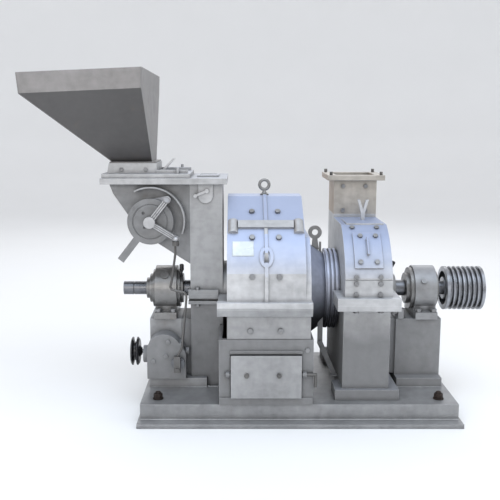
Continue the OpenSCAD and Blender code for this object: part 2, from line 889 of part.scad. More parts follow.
module fan_inspection_cover() {
  place = [fan_left + 36, fan_right - 35];
  plate = 6;
  handle_x = fan_left + 87;
  color("lightsteelblue") {
    intersection() {
      along_x(place)
        difference() {
          circle(r = fan_radius + plate);
          circle(r = fan_radius);
        }
      along_x([place[0] - 1, place[1] + 1])
        polygon([[0, 0], [-400, 400 * tan(25.6)], [-400, 400 * tan(54.4)]]);
    }
    difference() {
      translate([0, 0, shaft_z])
        rotate([-41, 0, 0])
          translate([0, -fan_radius - plate, 0]) {
            for (z = [-30, 34])
              rod_y([-14, plate], 4, handle_x, z);
            rod_z([-38, 40], 4, handle_x, -14);
          }
      rod_x([handle_x - 10, handle_x + 10], fan_radius + plate - 1);
    }
  }
}
module fan_shaft_seal() {
  color("silver")
    difference() {
      union() {
        rod_x([fan_right, fan_right + seal_length], seal_radius);
        translate([fan_right + seal_length, 0, shaft_z])
          rotate([0, 90, 0])
            cylinder(h = 23, r1 = seal_radius, r2 = 56);
      }
      rod_x([fan_right - 1, fan_right + 62], shaft_radius + seal_gap);
    }
}
module grease_cup(x, z, tilt) {
  translate([x, -30, z])
    rotate([0, tilt, 0]) {
      cylinder(h = 34, r = 4);
      translate([0, 0, 30])
        cylinder(h = 26, r = 9);
    }
}
module grease_cups() {
  color("black") {
    difference() {
      grease_cup(fan_right + 27, shaft_z + 66, 28);
      rod_x([fan_right, fan_right + seal_length], seal_radius);
    }
    difference() {
      grease_cup(left_housing[1] + 17.5, shaft_z + 48, 0);
      rod_x([left_housing[1], left_housing[1] + 30], gland_ring);
    }
  }
}

// Outlet duct
module outlet_duct() {
  color("gray")
    difference() {
      union() {
        block([duct_left, duct_right], [duct_front, duct_back], [duct_base, duct_top - 2]);
        block([duct_left - duct_flange_reach, duct_right + duct_flange_reach],
          [duct_front - duct_flange_reach, duct_back + duct_flange_reach], [duct_top - duct_flange,
            duct_top]);
      }
      block([duct_left + duct_wall, duct_right - duct_wall], [duct_front + duct_wall, duct_back - duct_wall],
        [duct_base - 1, duct_top + 1]);
    }
}
module outlet_studs() {
  color("dimgray")
    for (x = [duct_left - duct_flange_reach / 2, duct_right + duct_flange_reach / 2])
      for (y = [duct_front - duct_flange_reach / 2, duct_back + duct_flange_reach / 2])
        rod_z([duct_top, duct_top + 14], outlet_stud_radius, x, y);
}

// Pedestals and bearings
module left_pedestal() {
  half = pedestal_half_depth;
  color("silver") {
    block(left_ped, [-half, half], [foot_top, pedestal_top]);
    block([left_ped[0], left_foot_right], [-foot_half_depth, foot_half_depth], [bed_top, foot_top]);
  }
}
module right_pedestal() {
  half = pedestal_half_depth;
  color("silver") {
    block([right_ped[0] + 16, right_ped[1]], [-half, half], [foot_top, pedestal_top]);
    block([right_ped[0] + 16, right_ped[1]], [-foot_half_depth, foot_half_depth], [bed_top, foot_top]);
    block([fan_right, right_ped[0] + 17], [10 - half, half - 10], [bed_top + fan_foot, pedestal_top - 3]);
  }
}
module bearing_block(x) {
  difference() {
    union() {
      rod_x(x, bearing_housing_radius);
      block(x, [-70, 70], [pedestal_top, shaft_z - 50]);
      block(x, [-105, 105], [pedestal_top, pedestal_top + 28]);
    }
    rod_x([x[0] - 1, x[1] + 1], bearing_radius);
  }
}
module left_bearing_housing() {
  color("gray") {
    bearing_block(left_housing);
    translate([left_bearing_x - 4, 0, shaft_z])
      rotate([-44, 0, 0])
        rod_y([-bearing_housing_radius - 6, -bearing_housing_radius + 6], 16, 0, 0);
  }
}
module right_bearing_housing() {
  color("lightsteelblue") {
    bearing_block(right_housing);
    translate([right_bearing_x - 10, 0, shaft_z])
      rotate([-28, 0, 0])
        rod_y([-bearing_housing_radius - 9, -bearing_housing_radius + 6], 11, 0, 0);
  }
}
// A gland: its flange outside the housing and its spigot reaching in to the bearing
module gland(flange_x, spigot_x, radius) {
  bore = journal_radius + seal_gap;
  difference() {
    union() {
      rod_x(flange_x, radius);
      rod_x(spigot_x, bearing_radius - fit_gap);
    }
    rod_x([flange_x[0] - 60, flange_x[1] + 60], bore);
  }
}
module bearing_glands() {
  left_in = left_bearing_x - bearing_width / 2;
  left_out = left_bearing_x + bearing_width / 2;
  right_in = right_bearing_x - bearing_width / 2;
  right_out = right_bearing_x + bearing_width / 2;
  color("gray") {
    gland([left_housing[0] - 10, left_housing[0]], [left_housing[0] - 1, left_in - 0.5], 76);
    for (step = [[-24, -10, 58], [-38, -24, 42]])
      ring_x([left_housing[0] + step[0], left_housing[0] + step[1]], step[2], journal_radius + seal_gap);
    gland([left_housing[1], left_housing[1] + 12], [left_out + 0.5, left_housing[1] + 1], 76);
    ring_x([left_housing[1] + 12, left_housing[1] + 23], gland_ring, journal_radius + seal_gap);
    gland([right_housing[0] - 14, right_housing[0]], [right_housing[0] - 1, right_in - 0.5], 84);
    ring_x([right_housing[0] - 28, right_housing[0] - 14], 62, journal_radius + seal_gap);
    gland([right_housing[1], right_housing[1] + 10], [right_out + 0.5, right_housing[1] + 1], 72);
  }
}
module bearing_outer_rings() {
  color("lightgray")
    for (x = [left_bearing_x, right_bearing_x])
      ring_x([x - bearing_width / 2, x + bearing_width / 2], bearing_radius - fit_gap, bearing_radius - 12);
}
module bearing_inner_rings() {
  color("lightgray")
    for (x = [left_bearing_x, right_bearing_x])
      ring_x([x - bearing_width / 2, x + bearing_width / 2], bearing_radius - 20, journal_radius + fit_gap);
}

// Bolt heads and nuts on the fixed castings
module casing_bolts() {
  nut = 24;
  color("#4a4a48") {
    for (x = [chamber_x - 59, chamber_x + 53]) {
      front_bolt(x, 8 - chamber_half_depth, frame_top + 33);
      mirror([0, 1, 0])
        front_bolt(x, 8 - chamber_half_depth, frame_top + 33);
    }
    front_bolt(frame_right - 23, -frame_half_depth, frame_top - 39, 16, 7);
    for (x = [fan_left + 41, fan_right - 45], z = [shaft_z + 37, shaft_z + 77, shaft_z + 103])
      front_bolt(x, -fan_half_depth, z, 17, 7);
    for (x = [fan_left + 41, fan_right - 43, fan_right + 7])
      translate([x, -fan_flange_front + 20, shaft_z - 31])
        hex_head(19, 10);
    for (x = [fan_left + 40, fan_right - 42])
      shoulder_bolt(x, fan_radius, 61, 17, 7);
    for (place = [[fan_left + 64, 51], [fan_right - 54, 51], [fan_left + 58, 30], [fan_right - 57, 30]])
      shoulder_bolt(place[0], fan_radius + 6, place[1], 17, 7);
    for (place = [[duct_left + 37, 116], [duct_right - 46, 116], [duct_left + 38, 16], [duct_right - 46, 16]])
      front_bolt(place[0], duct_front, duct_base + place[1], 16, 7);
    for (z = [column_split + 18, column_split - 49])
      translate([column_left + 28, -column_half_depth - 9.5, z])
        hex_head(15, 10);
    for (x = [throat_left + 32, throat_right - 23])
      front_bolt(x, -collar_half_depth, gate_z + 15, 14, 6);
    for (housing = [left_housing, right_housing], x = [housing[0] + 14, housing[1] - 14], y = [-90, 90])
      translate([x, y, pedestal_top + 28])
        hex_head(nut, 13);
    translate([right_ped[0] + 34, 12 - pedestal_half_depth, pedestal_top]) {
      hex_head(36, 26);
      rod_z([20, 40], 11, 0, 0);
    }
  }
}

// Inlet column
module column_lower() {
  color("silver")
    difference() {
      union() {
        block([column_left, column_right], [-column_half_depth, column_half_depth], [foot_top, column_split]);
        block([left_foot_right + 2, column_right], [-column_half_depth, column_half_depth],
          [bed_top, foot_top + 1]);
        block([left_ped[1], column_left + 1], [-pedestal_half_depth, pedestal_half_depth],
          [foot_top, pedestal_top]);
        for (z = [[column_split - 39, column_split - 26], [column_split - 16, column_split]])
          block([column_left - 8, flange_left - 1],
            [-column_half_depth - column_reach, column_half_depth + column_reach], z);
        rod_x([column_right - 2, chamber_left - 0.5], inlet_radius + 10);
      }
      block([frame_left - 1, chamber_left], [-2 * column_half_depth, 2 * column_half_depth],
        [0, frame_top + 1]);
      block([column_left - 20, column_right], [-2 * column_half_depth, 2 * column_half_depth],
        [column_split, 2 * shaft_z]);
      column_hollow([shaft_z - inlet_radius - 4, column_split + 1]);
      rod_x([column_right - 20, chamber_left], inlet_radius);
      rod_x([column_left - 30, column_left + 20], shaft_radius + seal_gap);
    }
}
module column_hollow(z) {
  block([column_left + column_wall, column_right - column_wall],
    [-column_half_depth + column_wall, column_half_depth - column_wall], z);
}
module column_upper() {
  color("silver")
    difference() {
      union() {
        block([column_left, column_right], [-column_half_depth, column_half_depth],
          [column_split, feeder_top]);
        block([column_left - 8, flange_left - 1],
          [-column_half_depth - column_reach, column_half_depth + column_reach],
          [column_split, column_split + 18]);
      }
      column_hollow([column_split - 1, feeder_top + 1]);
      rod_x([column_right - 20, column_right + 1], inlet_radius);
      rod_x([column_left - 30, column_left + 20], shaft_radius + seal_gap);
      block([column_left - 1, column_left + column_wall + 1],
        [-column_half_depth + column_wall, column_half_depth - column_wall], [feeder_sill + 20,
          feeder_top - 12]);
    }
}
module column_lid() {
  color("silver")
    difference() {
      block([column_left + 27, column_right - 16], [-62, 62],
        [feeder_top + top_flange, feeder_top + top_flange + 6]);
      block([column_left + 37, column_right - 26], [-50, 50],
        [feeder_top + top_flange + 4, feeder_top + top_flange + 7]);
    }
}
module sight_cover() {
  half = 28;
  color("silver")
    difference() {
      along_y([column_front - 6, column_front]) {
        translate([sight_x, sight_z])
          circle(r = half);
        translate([sight_x - half, sight_z])
          square([2 * half, feeder_top - 2 - sight_z]);
      }
      rod_y([column_front - 7, column_front + 1], 4 + fit_gap, latch_x, latch_z);
    }
}
module sight_latch() {
  color("gainsboro") {
    rod_y([column_front - 12, column_front - 0.5], 4, latch_x, latch_z);
    rod_y([column_front - 15, column_front - 7], 8, latch_x, latch_z);
    translate([latch_x, 0, latch_z])
      rotate([0, -latch_angle, 0]) {
        block([0, latch_reach], [column_front - 13, column_front - 8], [-4.5, 4.5]);
        rod_y([column_front - 17, column_front - 8], 7, latch_reach, 0);
      }
  }
}

// Feeder
function tangent(dx, dz, r, side) = let (a = atan2(dz, dx) + side * acos(r / norm([dx, dz])))
  [roll_x + r * cos(a), roll_height + r * sin(a)];
module trough_outline(inset, top) {
  r = trough_radius - inset;
  left_x = feeder_left + 14 + 1.1 * inset;
  left_z = feeder_top - 38;
  low_z = feeder_sill + 1.3 * inset;
  translate([roll_x, roll_height])
    circle(r = r);
  polygon([[feeder_left + 1.1 * inset, top], [left_x, left_z],
    tangent(left_x - roll_x, left_z - roll_height, r, 1),
    tangent(column_left - roll_x, low_z - roll_height, r, -1),
    [column_left + inset / 9, low_z], [column_left + inset / 9, top]]);
}
module feeder_body() {
  half = column_half_depth;
  color("silver")
    difference() {
      union() {
        along_y([-half, half])
          trough_outline(0, feeder_top);
        rod_y([-half - 16, half + 16], 30, roll_x, roll_height);
      }
      along_y([-half + column_wall, half - column_wall])
        trough_outline(column_wall, feeder_top + 1);
      rod_y([-half - 20, half + 20], feed_shaft_radius + fit_gap, roll_x, roll_height);
    }
}
module feeder_top_flange() {
  front = column_half_depth + top_flange_reach;
  color("silver")
    difference() {
      block([feeder_left - 30, chamber_left - 2], [-front, front], [feeder_top, feeder_top + top_flange]);
      block([throat_left, throat_right], [-throat_half_depth, throat_half_depth],
        [feeder_top - 1, feeder_top + top_flange + 1]);
      block([column_left + 42, column_right - 31], [-45, 45], [feeder_top - 1, feeder_top + top_flange + 1]);
    }
}
module gate_frame() {
  plate = feeder_top + top_flange;
  half = collar_half_depth;
  color("silver")
    difference() {
      union() {
        block([feeder_left - 25, column_left + 3], [-138, 138], [plate, gate_z]);
        along_y([-half, half])
          polygon([[throat_left - 24, gate_z - 1], [throat_right + 20, gate_z - 1],
            [throat_right + 20, collar_top], [throat_left - 16, collar_top]]);
        for (side = [-1, 1]) {
          block([throat_right + 19, column_left - 6], side > 0 ? [gate_half_depth + 2, gate_half_depth + 18] :
            [-gate_half_depth - 18, -gate_half_depth - 2], [gate_z - 1, gate_z + 13]);
          rod_z([gate_z - 1, gate_z + 24], 6, column_left - 44, side * 122);
        }
      }
      block([throat_left, throat_right], [-throat_half_depth, throat_half_depth], [plate - 1, gate_z + 1]);
      block([throat_left - 10, throat_right + 12], [-half + 8, half - 8], [gate_z, collar_top + 1]);
      block([throat_right, throat_right + 30], [-gate_half_depth - 1, gate_half_depth + 1],
        [gate_z, gate_z + 8]);
    }
}
module slide_gate() {
  low = gate_z + 0.4;
  right = throat_right + 33;
  color("gainsboro") {
    block([throat_left - 6, right], [-gate_half_depth, gate_half_depth], [low, low + 6]);
    along_y([-26, 26])
      polygon([[right - 4, low], [right + 3, low], [right + 50, low + 53], [right + 42, low + 53],
        [right - 4, low + 6]]);
  }
}

// Hopper
module frustum(low, high) {
  polyhedron(
    points = [[low[0], -low[2], low[3]], [low[1], -low[2], low[4]], [low[1], low[2], low[4]],
      [low[0], low[2], low[3]], [high[0], -high[2], high[3]], [high[1], -high[2], high[4]],
      [high[1], high[2], high[4]], [high[0], high[2], high[3]]],
    faces = [[0, 1, 2, 3], [4, 7, 6, 5], [0, 4, 5, 1], [1, 5, 6, 2], [2, 6, 7, 3], [3, 7, 4, 0]]);
}
module hopper_shape(t, low, high) {
  throat = [throat_left + t, throat_right - t, throat_half_depth - t, collar_top + low, collar_top + 7 + low];
  knee = [mouth_left + 7 + t, mouth_right - 3 - t, mouth_half_depth - t,
    mouth_height - mouth_drop - mouth_band, mouth_height - mouth_band];
  rim = [mouth_left + t, mouth_right - t, mouth_half_depth - t, mouth_height - mouth_drop + high,
    mouth_height + high];
  frustum(throat, knee);
  frustum(knee, rim);
}
module hopper() {
  color("silver")
    difference() {
      union() {
        hopper_shape(0, 0, 0);
        block([throat_left - 14, throat_right + 16], [-collar_half_depth + 2, collar_half_depth - 2],
          [collar_top, collar_top + 5]);
        block([throat_left, throat_right], [-throat_half_depth, throat_half_depth],
          [collar_top, collar_top + 7]);
      }
      hopper_shape(hopper_sheet, 0, 1);
      block([throat_left + hopper_sheet, throat_right - hopper_sheet],
        [hopper_sheet - throat_half_depth, throat_half_depth - hopper_sheet], [collar_top - 1,
          collar_top + 8]);
    }
}

// Feed roll and its ratchet drive
module turned(angle) {
  translate([roll_x, 0, roll_height])
    rotate([0, -angle, 0])
      children();
}
module feed_roll() {
  half = column_half_depth - column_wall - run_gap;
  color("gray")
    difference() {
      rod_y([-half, half], roll_radius, roll_x, roll_height);
      rod_y([-half - 1, half + 1], feed_shaft_radius + fit_gap, roll_x, roll_height);
      for (i = [0:7])
        turned(i * 45)
          rod_y([-half - 1, half + 1], 9, roll_radius + 2, 0);
    }
}
module feed_shaft() {
  color("lightgray")
    rod_y([rocker_y[0] - 2, column_half_depth + 24], feed_shaft_radius, roll_x, roll_height);
}
module ratchet_wheel() {
  step = 360 / ratchet_teeth;
  color("gray")
    difference() {
      translate([roll_x, 0, roll_height])
        along_y(ratchet_y)
          polygon([for (i = [0:ratchet_teeth - 1], tip = [true, false]) let (a = (tip ? i : i + 0.12) * step)
            tip ? [ratchet_radius * cos(a), ratchet_radius * sin(a)] :
              [(ratchet_radius - 6) * cos(a), (ratchet_radius - 6) * sin(a)]]);
      rod_y([ratchet_y[0] - 1, ratchet_y[1] + 1], feed_shaft_radius + fit_gap, roll_x, roll_height);
    }
}
module feed_shroud() {
  color("silver")
    difference() {
      union() {
        rod_y(shroud_y, shroud_radius, roll_x, roll_height);
        turned(lever_angle)
          block([shroud_radius - 10, lever_reach], [shroud_y[0], shroud_y[0] + 8], [-14, 14]);
      }
      rod_y([shroud_y[0] - 1, shroud_y[1] + 1], feed_shaft_radius + fit_gap, roll_x, roll_height);
      difference() {
        rod_y([shroud_y[0] - 1, shroud_y[0] + 2], shroud_radius - 20, roll_x, roll_height);
        rod_y([shroud_y[0] - 2, shroud_y[0] + 3], shroud_radius - 25, roll_x, roll_height);
      }
      for (place = [[128, 42, 6], [225, 31, 5]])
        turned(place[0])
          rod_y([shroud_y[0] - 1, shroud_y[0] + 5], place[2], place[1], 0);
    }
}
module feed_guard() {
  color("silver")
    intersection() {
      difference() {
        rod_y([shroud_y[1], column_front], guard_radius + 6, roll_x, roll_height);
        rod_y([shroud_y[1] - 1, column_front + 1], guard_radius, roll_x, roll_height);
      }
      translate([roll_x, 0, roll_height])
        along_y([shroud_y[1] - 1, column_front + 1])
          polygon([[0, 0], for (a = [-22:35:118]) [220 * cos(a), 220 * sin(a)]]);
    }
}
module rocker_arm() {
  hub = 22;
  color("gainsboro")
    difference() {
      union() {
        rod_y([rocker_y[0] - 8, rocker_y[1] + 4], hub, roll_x, roll_height);
        turned(ball_angle) {
          block([0, ball_reach], rocker_y, [-9, 9]);
          for (z = [-9, -2, 5])
            block([hub, ball_reach - 8], [rocker_y[0] - 5, rocker_y[0] + 1], [z, z + 4]);
          rod_y(rocker_y, 12, ball_reach, 0);
          rod_y([ball_y, rocker_y[0]], 5, ball_reach, 0);
          translate([ball_reach, ball_y, 0])
            sphere(r = ball_radius);
        }
        turned(pawl_angle) {
          block([0, pawl_reach], rocker_y, [-10, 10]);
          for (z = [-10, -2, 6])
            block([hub, pawl_reach - 12], [rocker_y[0] - 5, rocker_y[0] + 1], [z, z + 4]);
          rod_y(rocker_y, 13, pawl_reach, 0);
        }
      }
      rod_y([rocker_y[0] - 2.5, rocker_y[1] + 5], feed_shaft_radius + fit_gap, roll_x, roll_height);
      turned(pawl_angle)
        rod_y([rocker_y[0] - 6, rocker_y[1] + 1], 6 + fit_gap, pawl_reach, 0);
    }
}
module feed_pawl() {
  color("gray") {
    rod_y([rocker_y[0] - 4, ratchet_y[1]], 6, pawl_x, pawl_z);
    rod_y([rocker_y[0] - 9, rocker_y[0] - 0.5], 9, pawl_x, pawl_z);
    rod_y(ratchet_y, 11, pawl_x, pawl_z);
    translate([roll_x, 0, roll_height])
      along_y(ratchet_y)
        polygon([[5.2, ratchet_radius + 1.6], [1.5, ratchet_radius + 10], [64, 97], [70, 76]]);
  }
}
// A round bar bent in a plane of X and Z through the points of a path
function heading(path, i) =
  atan2(path[i + 1][1] - path[i][1], path[i + 1][0] - path[i][0]);
module bent_bar(path, y, r, sides = 16) {
  last = len(path) - 1;
  rings = [for (i = [0:last])
    let (before = heading(path, max(i - 1, 0)))
    let (after = heading(path, min(i, last - 1)))
    let (turn = (before + after) / 2)
    let (mitre = r / cos((after - before) / 2))
    for (j = [0:sides - 1])
      let (a = 360 * j / sides)
      [path[i][0] - sin(turn) * mitre * sin(a), y + r * cos(a), path[i][1] + cos(turn) * mitre * sin(a)]];
  walls = [for (i = [0:last - 1], j = [0:sides - 1])
    let (k = (j + 1) % sides)
    [i * sides + j, (i + 1) * sides + j, (i + 1) * sides + k, i * sides + k]];
  first_cap = [for (j = [0:sides - 1]) j];
  last_cap = [for (j = [sides - 1:-1:0]) last * sides + j];
  polyhedron(rings, concat(walls, [first_cap, last_cap]));
}
module connecting_rod() {
  clevis = 12;
  offsets = [[-2, ball_z - 23], [-2, ball_z - 58], [-16, shaft_z + 75], [-23, shaft_z + 47],
    [-17, shaft_z + 37], [7, shaft_z + 30], [30, shaft_z + 25], [38, shaft_z + 17], [38, shaft_z + 2],
    [32, pedestal_top + 40], [19, worm_height + 39], [2, crank_z + 36]];
  color("gray")
    difference() {
      union() {
        rod_z([ball_z - 24, ball_z - 7], ball_radius + 2, ball_x, ball_y);
        bent_bar([for (p = offsets) [ball_x + p[0], p[1]]], ball_y, rod_radius);
        block([crank_x - clevis, crank_x + clevis], [ball_y - clevis, ball_y + clevis],
          [crank_z - 27, crank_z + 37]);
        front_bolt(crank_x, ball_y - clevis, crank_z - crank_throw, 17, 7);
      }
      translate([ball_x, ball_y, ball_z])
        sphere(r = ball_radius + 0.4);
      rod_y([ball_y - 2, ball_y + clevis + 1], 5.3, crank_x, crank_z - crank_throw);
    }
}

// Feed gearbox on the left pedestal
module gearbox_outline() {
  arc_x = left_ped[0] + 61;
  translate([arc_x, worm_height + 11])
    circle(r = 67);
  polygon([[left_ped[0] - 6, foot_top + 5], [crank_x + 30, foot_top + 5], [crank_x + 30, worm_height - 2],
    [crank_x + 12, worm_height + 42], [arc_x, worm_height + 42], [left_ped[0] - 6, worm_height + 11]]);
}
module gearbox_housing() {
  left = left_ped[0] - 6;
  right = crank_x + 30;
  color("silver")
    difference() {
      union() {
        along_y([gearbox_front, -pedestal_half_depth])
          gearbox_outline();
        rod_x([left - 17, left + 1], 34, worm_y + 3, worm_height - 12);
        rod_x([right - 1, right + 10], 15, worm_y, worm_height);
      }
      block([left + 12, right - 5], [gearbox_front - 1, -pedestal_half_depth - 8],
        [worm_height - 16, worm_height + 22]);
      rod_y([gearbox_front - 1, -pedestal_half_depth - 8], worm_centres - 8, crank_x, crank_z);
      rod_x([left - 18, right + 8], 8 + fit_gap, worm_y, worm_height);
      rod_y([-pedestal_half_depth - 9, -pedestal_half_depth - 1], 9 + fit_gap, crank_x, crank_z);
    }
}
module gearbox_cover() {
  color("silver")
    difference() {
      union() {
        along_y([gearbox_front - gearbox_lid, gearbox_front])
          gearbox_outline();
        for (place = [[left_ped[0] + 78, worm_height + 49], [left_ped[0] + 19, worm_height - 29],
          [left_ped[0] + 69, worm_height - 8]])
          front_bolt(place[0], gearbox_front - gearbox_lid, place[1], 15, 6);
      }
      rod_y([gearbox_front - gearbox_lid - 1, gearbox_front + 1], 9 + fit_gap, crank_x, crank_z);
    }
}
module worm_shaft() {
  color("lightgray") {
    rod_x([gear_pulley_left - 4, crank_x + 37], 8, worm_y, worm_height);
    rod_x([crank_x - 22, crank_x + 22], worm_centres - 24, worm_y, worm_height);
  }
}
module gearbox_pulley() {
  width = 34;
  r = gear_pulley_radius;
  color("black")
    translate([gear_pulley_left, worm_y, worm_height])
      rotate([0, 90, 0])
        rotate_extrude()
          polygon([[8 + fit_gap, 0], [r - 20, 0], [r - 6, 2], [r, 6], [r, 9], [r - 19, 14],
            [r - 19, 20], [r, 25],
            [r, 28], [r - 8, width], [24, width], [13, width + 10], [8 + fit_gap, width + 10]]);
}
module crank_shaft() {
  color("lightgray") {
    rod_y([crank_disc_y[0] + 1, -pedestal_half_depth - 2], 9, crank_x, crank_z);
    rod_y([worm_y - 9, worm_y + 9], worm_centres - 9.7, crank_x, crank_z);
    rod_y(crank_disc_y, 26, crank_x, crank_z);
    rod_y([ball_y + 15, crank_disc_y[0] + 1], 5, crank_x, crank_z - crank_throw);
  }
}

// Main shaft and what turns with it
module main_shaft() {
  groove_x = stub_left + 42;
  color("lightgray")
    difference() {
      union() {
        rod_x([stub_left, pulley_right + 6], journal_radius);
        rod_x([left_housing[1] + 26, right_housing[0] - 30], shaft_radius);
      }
      ring_x([groove_x - 2, groove_x + 2], journal_radius + 1, journal_radius - 3);
    }
}
module grinding_rotor() {
  color("dimgray")
    difference() {
      union() {
        rod_x([chamber_x - 106, chamber_x + 106], 54);
        for (i = [-1.5:1:1.5])
          rod_x([chamber_x + i * 62 - disc_thickness / 2, chamber_x + i * 62 + disc_thickness / 2],
            disc_radius);
      }
      rod_x([chamber_x - 110, chamber_x + 110], shaft_radius + fit_gap);
      for (i = [1:hammer_rows])
        translate([0, 0, shaft_z])
          rotate([i * 360 / hammer_rows, 0, 0])
            rod_x([chamber_x - 110, chamber_x + 110], 9 + fit_gap, 0, disc_radius - 25);
    }
}
module swing_hammers() {
  color("gray")
    for (i = [1:hammer_rows])
      translate([0, 0, shaft_z])
        rotate([i * 360 / hammer_rows, 0, 0]) {
          rod_x([chamber_x - 103, chamber_x + 103], 9, 0, disc_radius - 25);
          for (row = [0:2])
            block([hammer_x(row) - hammer_width / 2, hammer_x(row) + hammer_width / 2], [-20, 20],
              [disc_radius - 45, hammer_tip]);
        }
}
module fan_wheel() {
  color("dimgray") {
    difference() {
      union() {
        rod_x([fan_left + 26, fan_right - 24], 56);
        rod_x([fan_right - 44, fan_right - 36], fan_wheel_radius);
        for (i = [1:fan_blades])
          translate([0, 0, shaft_z])
            rotate([i * 360 / fan_blades, 0, 0])
              block([fan_left + 34, fan_right - 43], [-3, 3], [50, fan_wheel_radius]);
      }
      rod_x([fan_left, fan_right], shaft_radius + fit_gap);
    }
  }
}
module classifier_wheel() {
  color("dimgray") {
    difference() {
      union() {
        rod_x([cone_left + 8, cone_right - 10], 56);
        for (i = [1:6])
          translate([0, 0, shaft_z])
            rotate([i * 60, 0, 0])
              block([cone_left + 12, cone_right - 14], [-3, 3], [50, cone_small_radius - cone_wall - 8]);
      }
      rod_x([cone_left, cone_right], shaft_radius + fit_gap);
    }
  }
}
module belt_pulley() {
  r = pulley_radius;
  margin = (pulley_width - (groove_count - 1) * groove_pitch) / 2;
  grooves = [for (i = [0:groove_count - 1], p = [[0, -7], [groove_depth, -3.5], [groove_depth, 3.5], [0, 7]])
    [r - p[0], margin + i * groove_pitch + p[1]]];
  color("gray")
    difference() {
      translate([pulley_left, 0, shaft_z])
        rotate([0, 90, 0])
          rotate_extrude()
            polygon(concat([[journal_radius + fit_gap, 0], [r - 1, 0], [r, 1]], grooves,
              [[r, pulley_width - 1], [r - 1, pulley_width], [journal_radius + fit_gap, pulley_width]]));
      ring_x([pulley_left - 1, pulley_left + 60], r - 19, 45);
      ring_x([pulley_right - 50, pulley_right + 1], r - 19, 45);
    }
}

bed_frame();
foundation_bolts();
casing_bolts();
discharge_frame();
lower_casing();
lower_liner();
upper_casing();
upper_liner();
liner_bolts();
lifting_eyebolt();
nameplate();
cover_hinge_pins();
flap_door();
flap_rod();
classifier_cone();
classifier_neck();
classifier_stay();
fan_lower_housing();
fan_upper_housing();
fan_inspection_cover();
fan_shaft_seal();
grease_cups();
outlet_duct();
outlet_studs();
left_pedestal();
right_pedestal();
left_bearing_housing();
right_bearing_housing();
bearing_glands();
bearing_outer_rings();
bearing_inner_rings();
column_lower();
column_upper();
column_lid();
sight_cover();
sight_latch();
feeder_body();
feeder_top_flange();
gate_frame();
slide_gate();
hopper();
feed_roll();
feed_shaft();
ratchet_wheel();
feed_shroud();
feed_guard();
rocker_arm();
feed_pawl();
connecting_rod();
gearbox_housing();
gearbox_cover();
worm_shaft();
gearbox_pulley();
crank_shaft();
main_shaft();
grinding_rotor();
swing_hammers();
classifier_wheel();
fan_wheel();
belt_pulley();
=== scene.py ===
"""Looks of the horizontal pulverizer: its finishes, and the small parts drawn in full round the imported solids."""

import json
import math
import random

import bmesh
import bpy
from bpy.props import FloatProperty, FloatVectorProperty, IntProperty, PointerProperty
from mathutils import Matrix, Vector


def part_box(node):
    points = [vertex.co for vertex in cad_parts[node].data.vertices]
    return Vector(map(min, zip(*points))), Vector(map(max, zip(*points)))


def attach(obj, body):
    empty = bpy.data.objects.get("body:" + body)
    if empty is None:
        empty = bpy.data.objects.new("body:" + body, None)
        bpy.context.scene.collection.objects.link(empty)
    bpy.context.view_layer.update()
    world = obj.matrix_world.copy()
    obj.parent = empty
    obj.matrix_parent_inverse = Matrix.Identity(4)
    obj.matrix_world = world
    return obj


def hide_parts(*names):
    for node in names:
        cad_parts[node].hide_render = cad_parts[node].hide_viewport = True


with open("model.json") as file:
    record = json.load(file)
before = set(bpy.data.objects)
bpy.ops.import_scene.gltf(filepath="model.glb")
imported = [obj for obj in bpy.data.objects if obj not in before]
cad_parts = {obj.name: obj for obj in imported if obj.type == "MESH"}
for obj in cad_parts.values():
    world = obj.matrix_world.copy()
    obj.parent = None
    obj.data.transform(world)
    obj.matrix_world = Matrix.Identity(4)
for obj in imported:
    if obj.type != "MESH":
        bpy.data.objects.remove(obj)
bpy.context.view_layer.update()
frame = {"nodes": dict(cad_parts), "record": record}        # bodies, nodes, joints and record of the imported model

bl_info = {
    "name": "Pulverizer Looks",
    "version": (1, 0, 0),
    "blender": (4, 5, 0),
    "location": "View3D > Sidebar > Pulverizer",
    "description": "Finishes and small parts for the horizontal pulverizer",
    "category": "Object",
}

NODES = frame["nodes"]
SLOTS = {row["node"]: row["material_slot"] for row in frame["record"]["subparts"]}
BODY_OF = {name: body for body, names in frame["record"]["behaviour"]["bodies"].items() for name in names}

# Places on the machine, in metres
SHAFT_Z = 0.450                     # main shaft above the floor
COVER_RADIUS = 0.355                # round front of the cover, about the shaft
BAND_LEAN = math.radians(53.0)      # where the cast band lies on that front, up from level
BAND_PROUD = 0.001                  # faces further off the front than this are the band's
BAND_LOW, BAND_HIGH = -0.042, 0.032
LUG_HALF_WIDTH = 0.0072             # lug and pin of the cone, to either side of the middle
LUG_ABOVE_SHAFT = 0.10
SAME_POINT = 1e-5                   # corners nearer than this are one


# Sizes and colours that a user would change

def colour(name, text, value):
    return FloatVectorProperty(name=name, description=text, subtype="COLOR", size=3, min=0, max=1, default=value)


class PulverizerColours(bpy.types.PropertyGroup):
    silver: colour("Silver paint", "Brushed-on silver paint of the castings", (0.44, 0.44, 0.445))
    hopper: colour("Hopper paint", "Older, warmer paint of the hopper and column", (0.225, 0.215, 0.212))
    # the blue in this grey is a painted sky reflection on the cone and neck; the dark grey is their paint
    cone: colour("Classifier paint", "Dark blue-grey of the classifier cone", (0.49, 0.51, 0.59))
    steel: colour("Turned steel", "Bare turned steel of shafts and pulley", (0.41, 0.42, 0.45))
    bolt: colour("Bolt steel", "Oiled dark steel of the bolt heads", (0.15, 0.145, 0.14))
    rust: colour("Rust", "Rusted foundation nuts", (0.030, 0.019, 0.015))
    floor: colour("Floor", "Plain pale floor", (0.86, 0.86, 0.86))


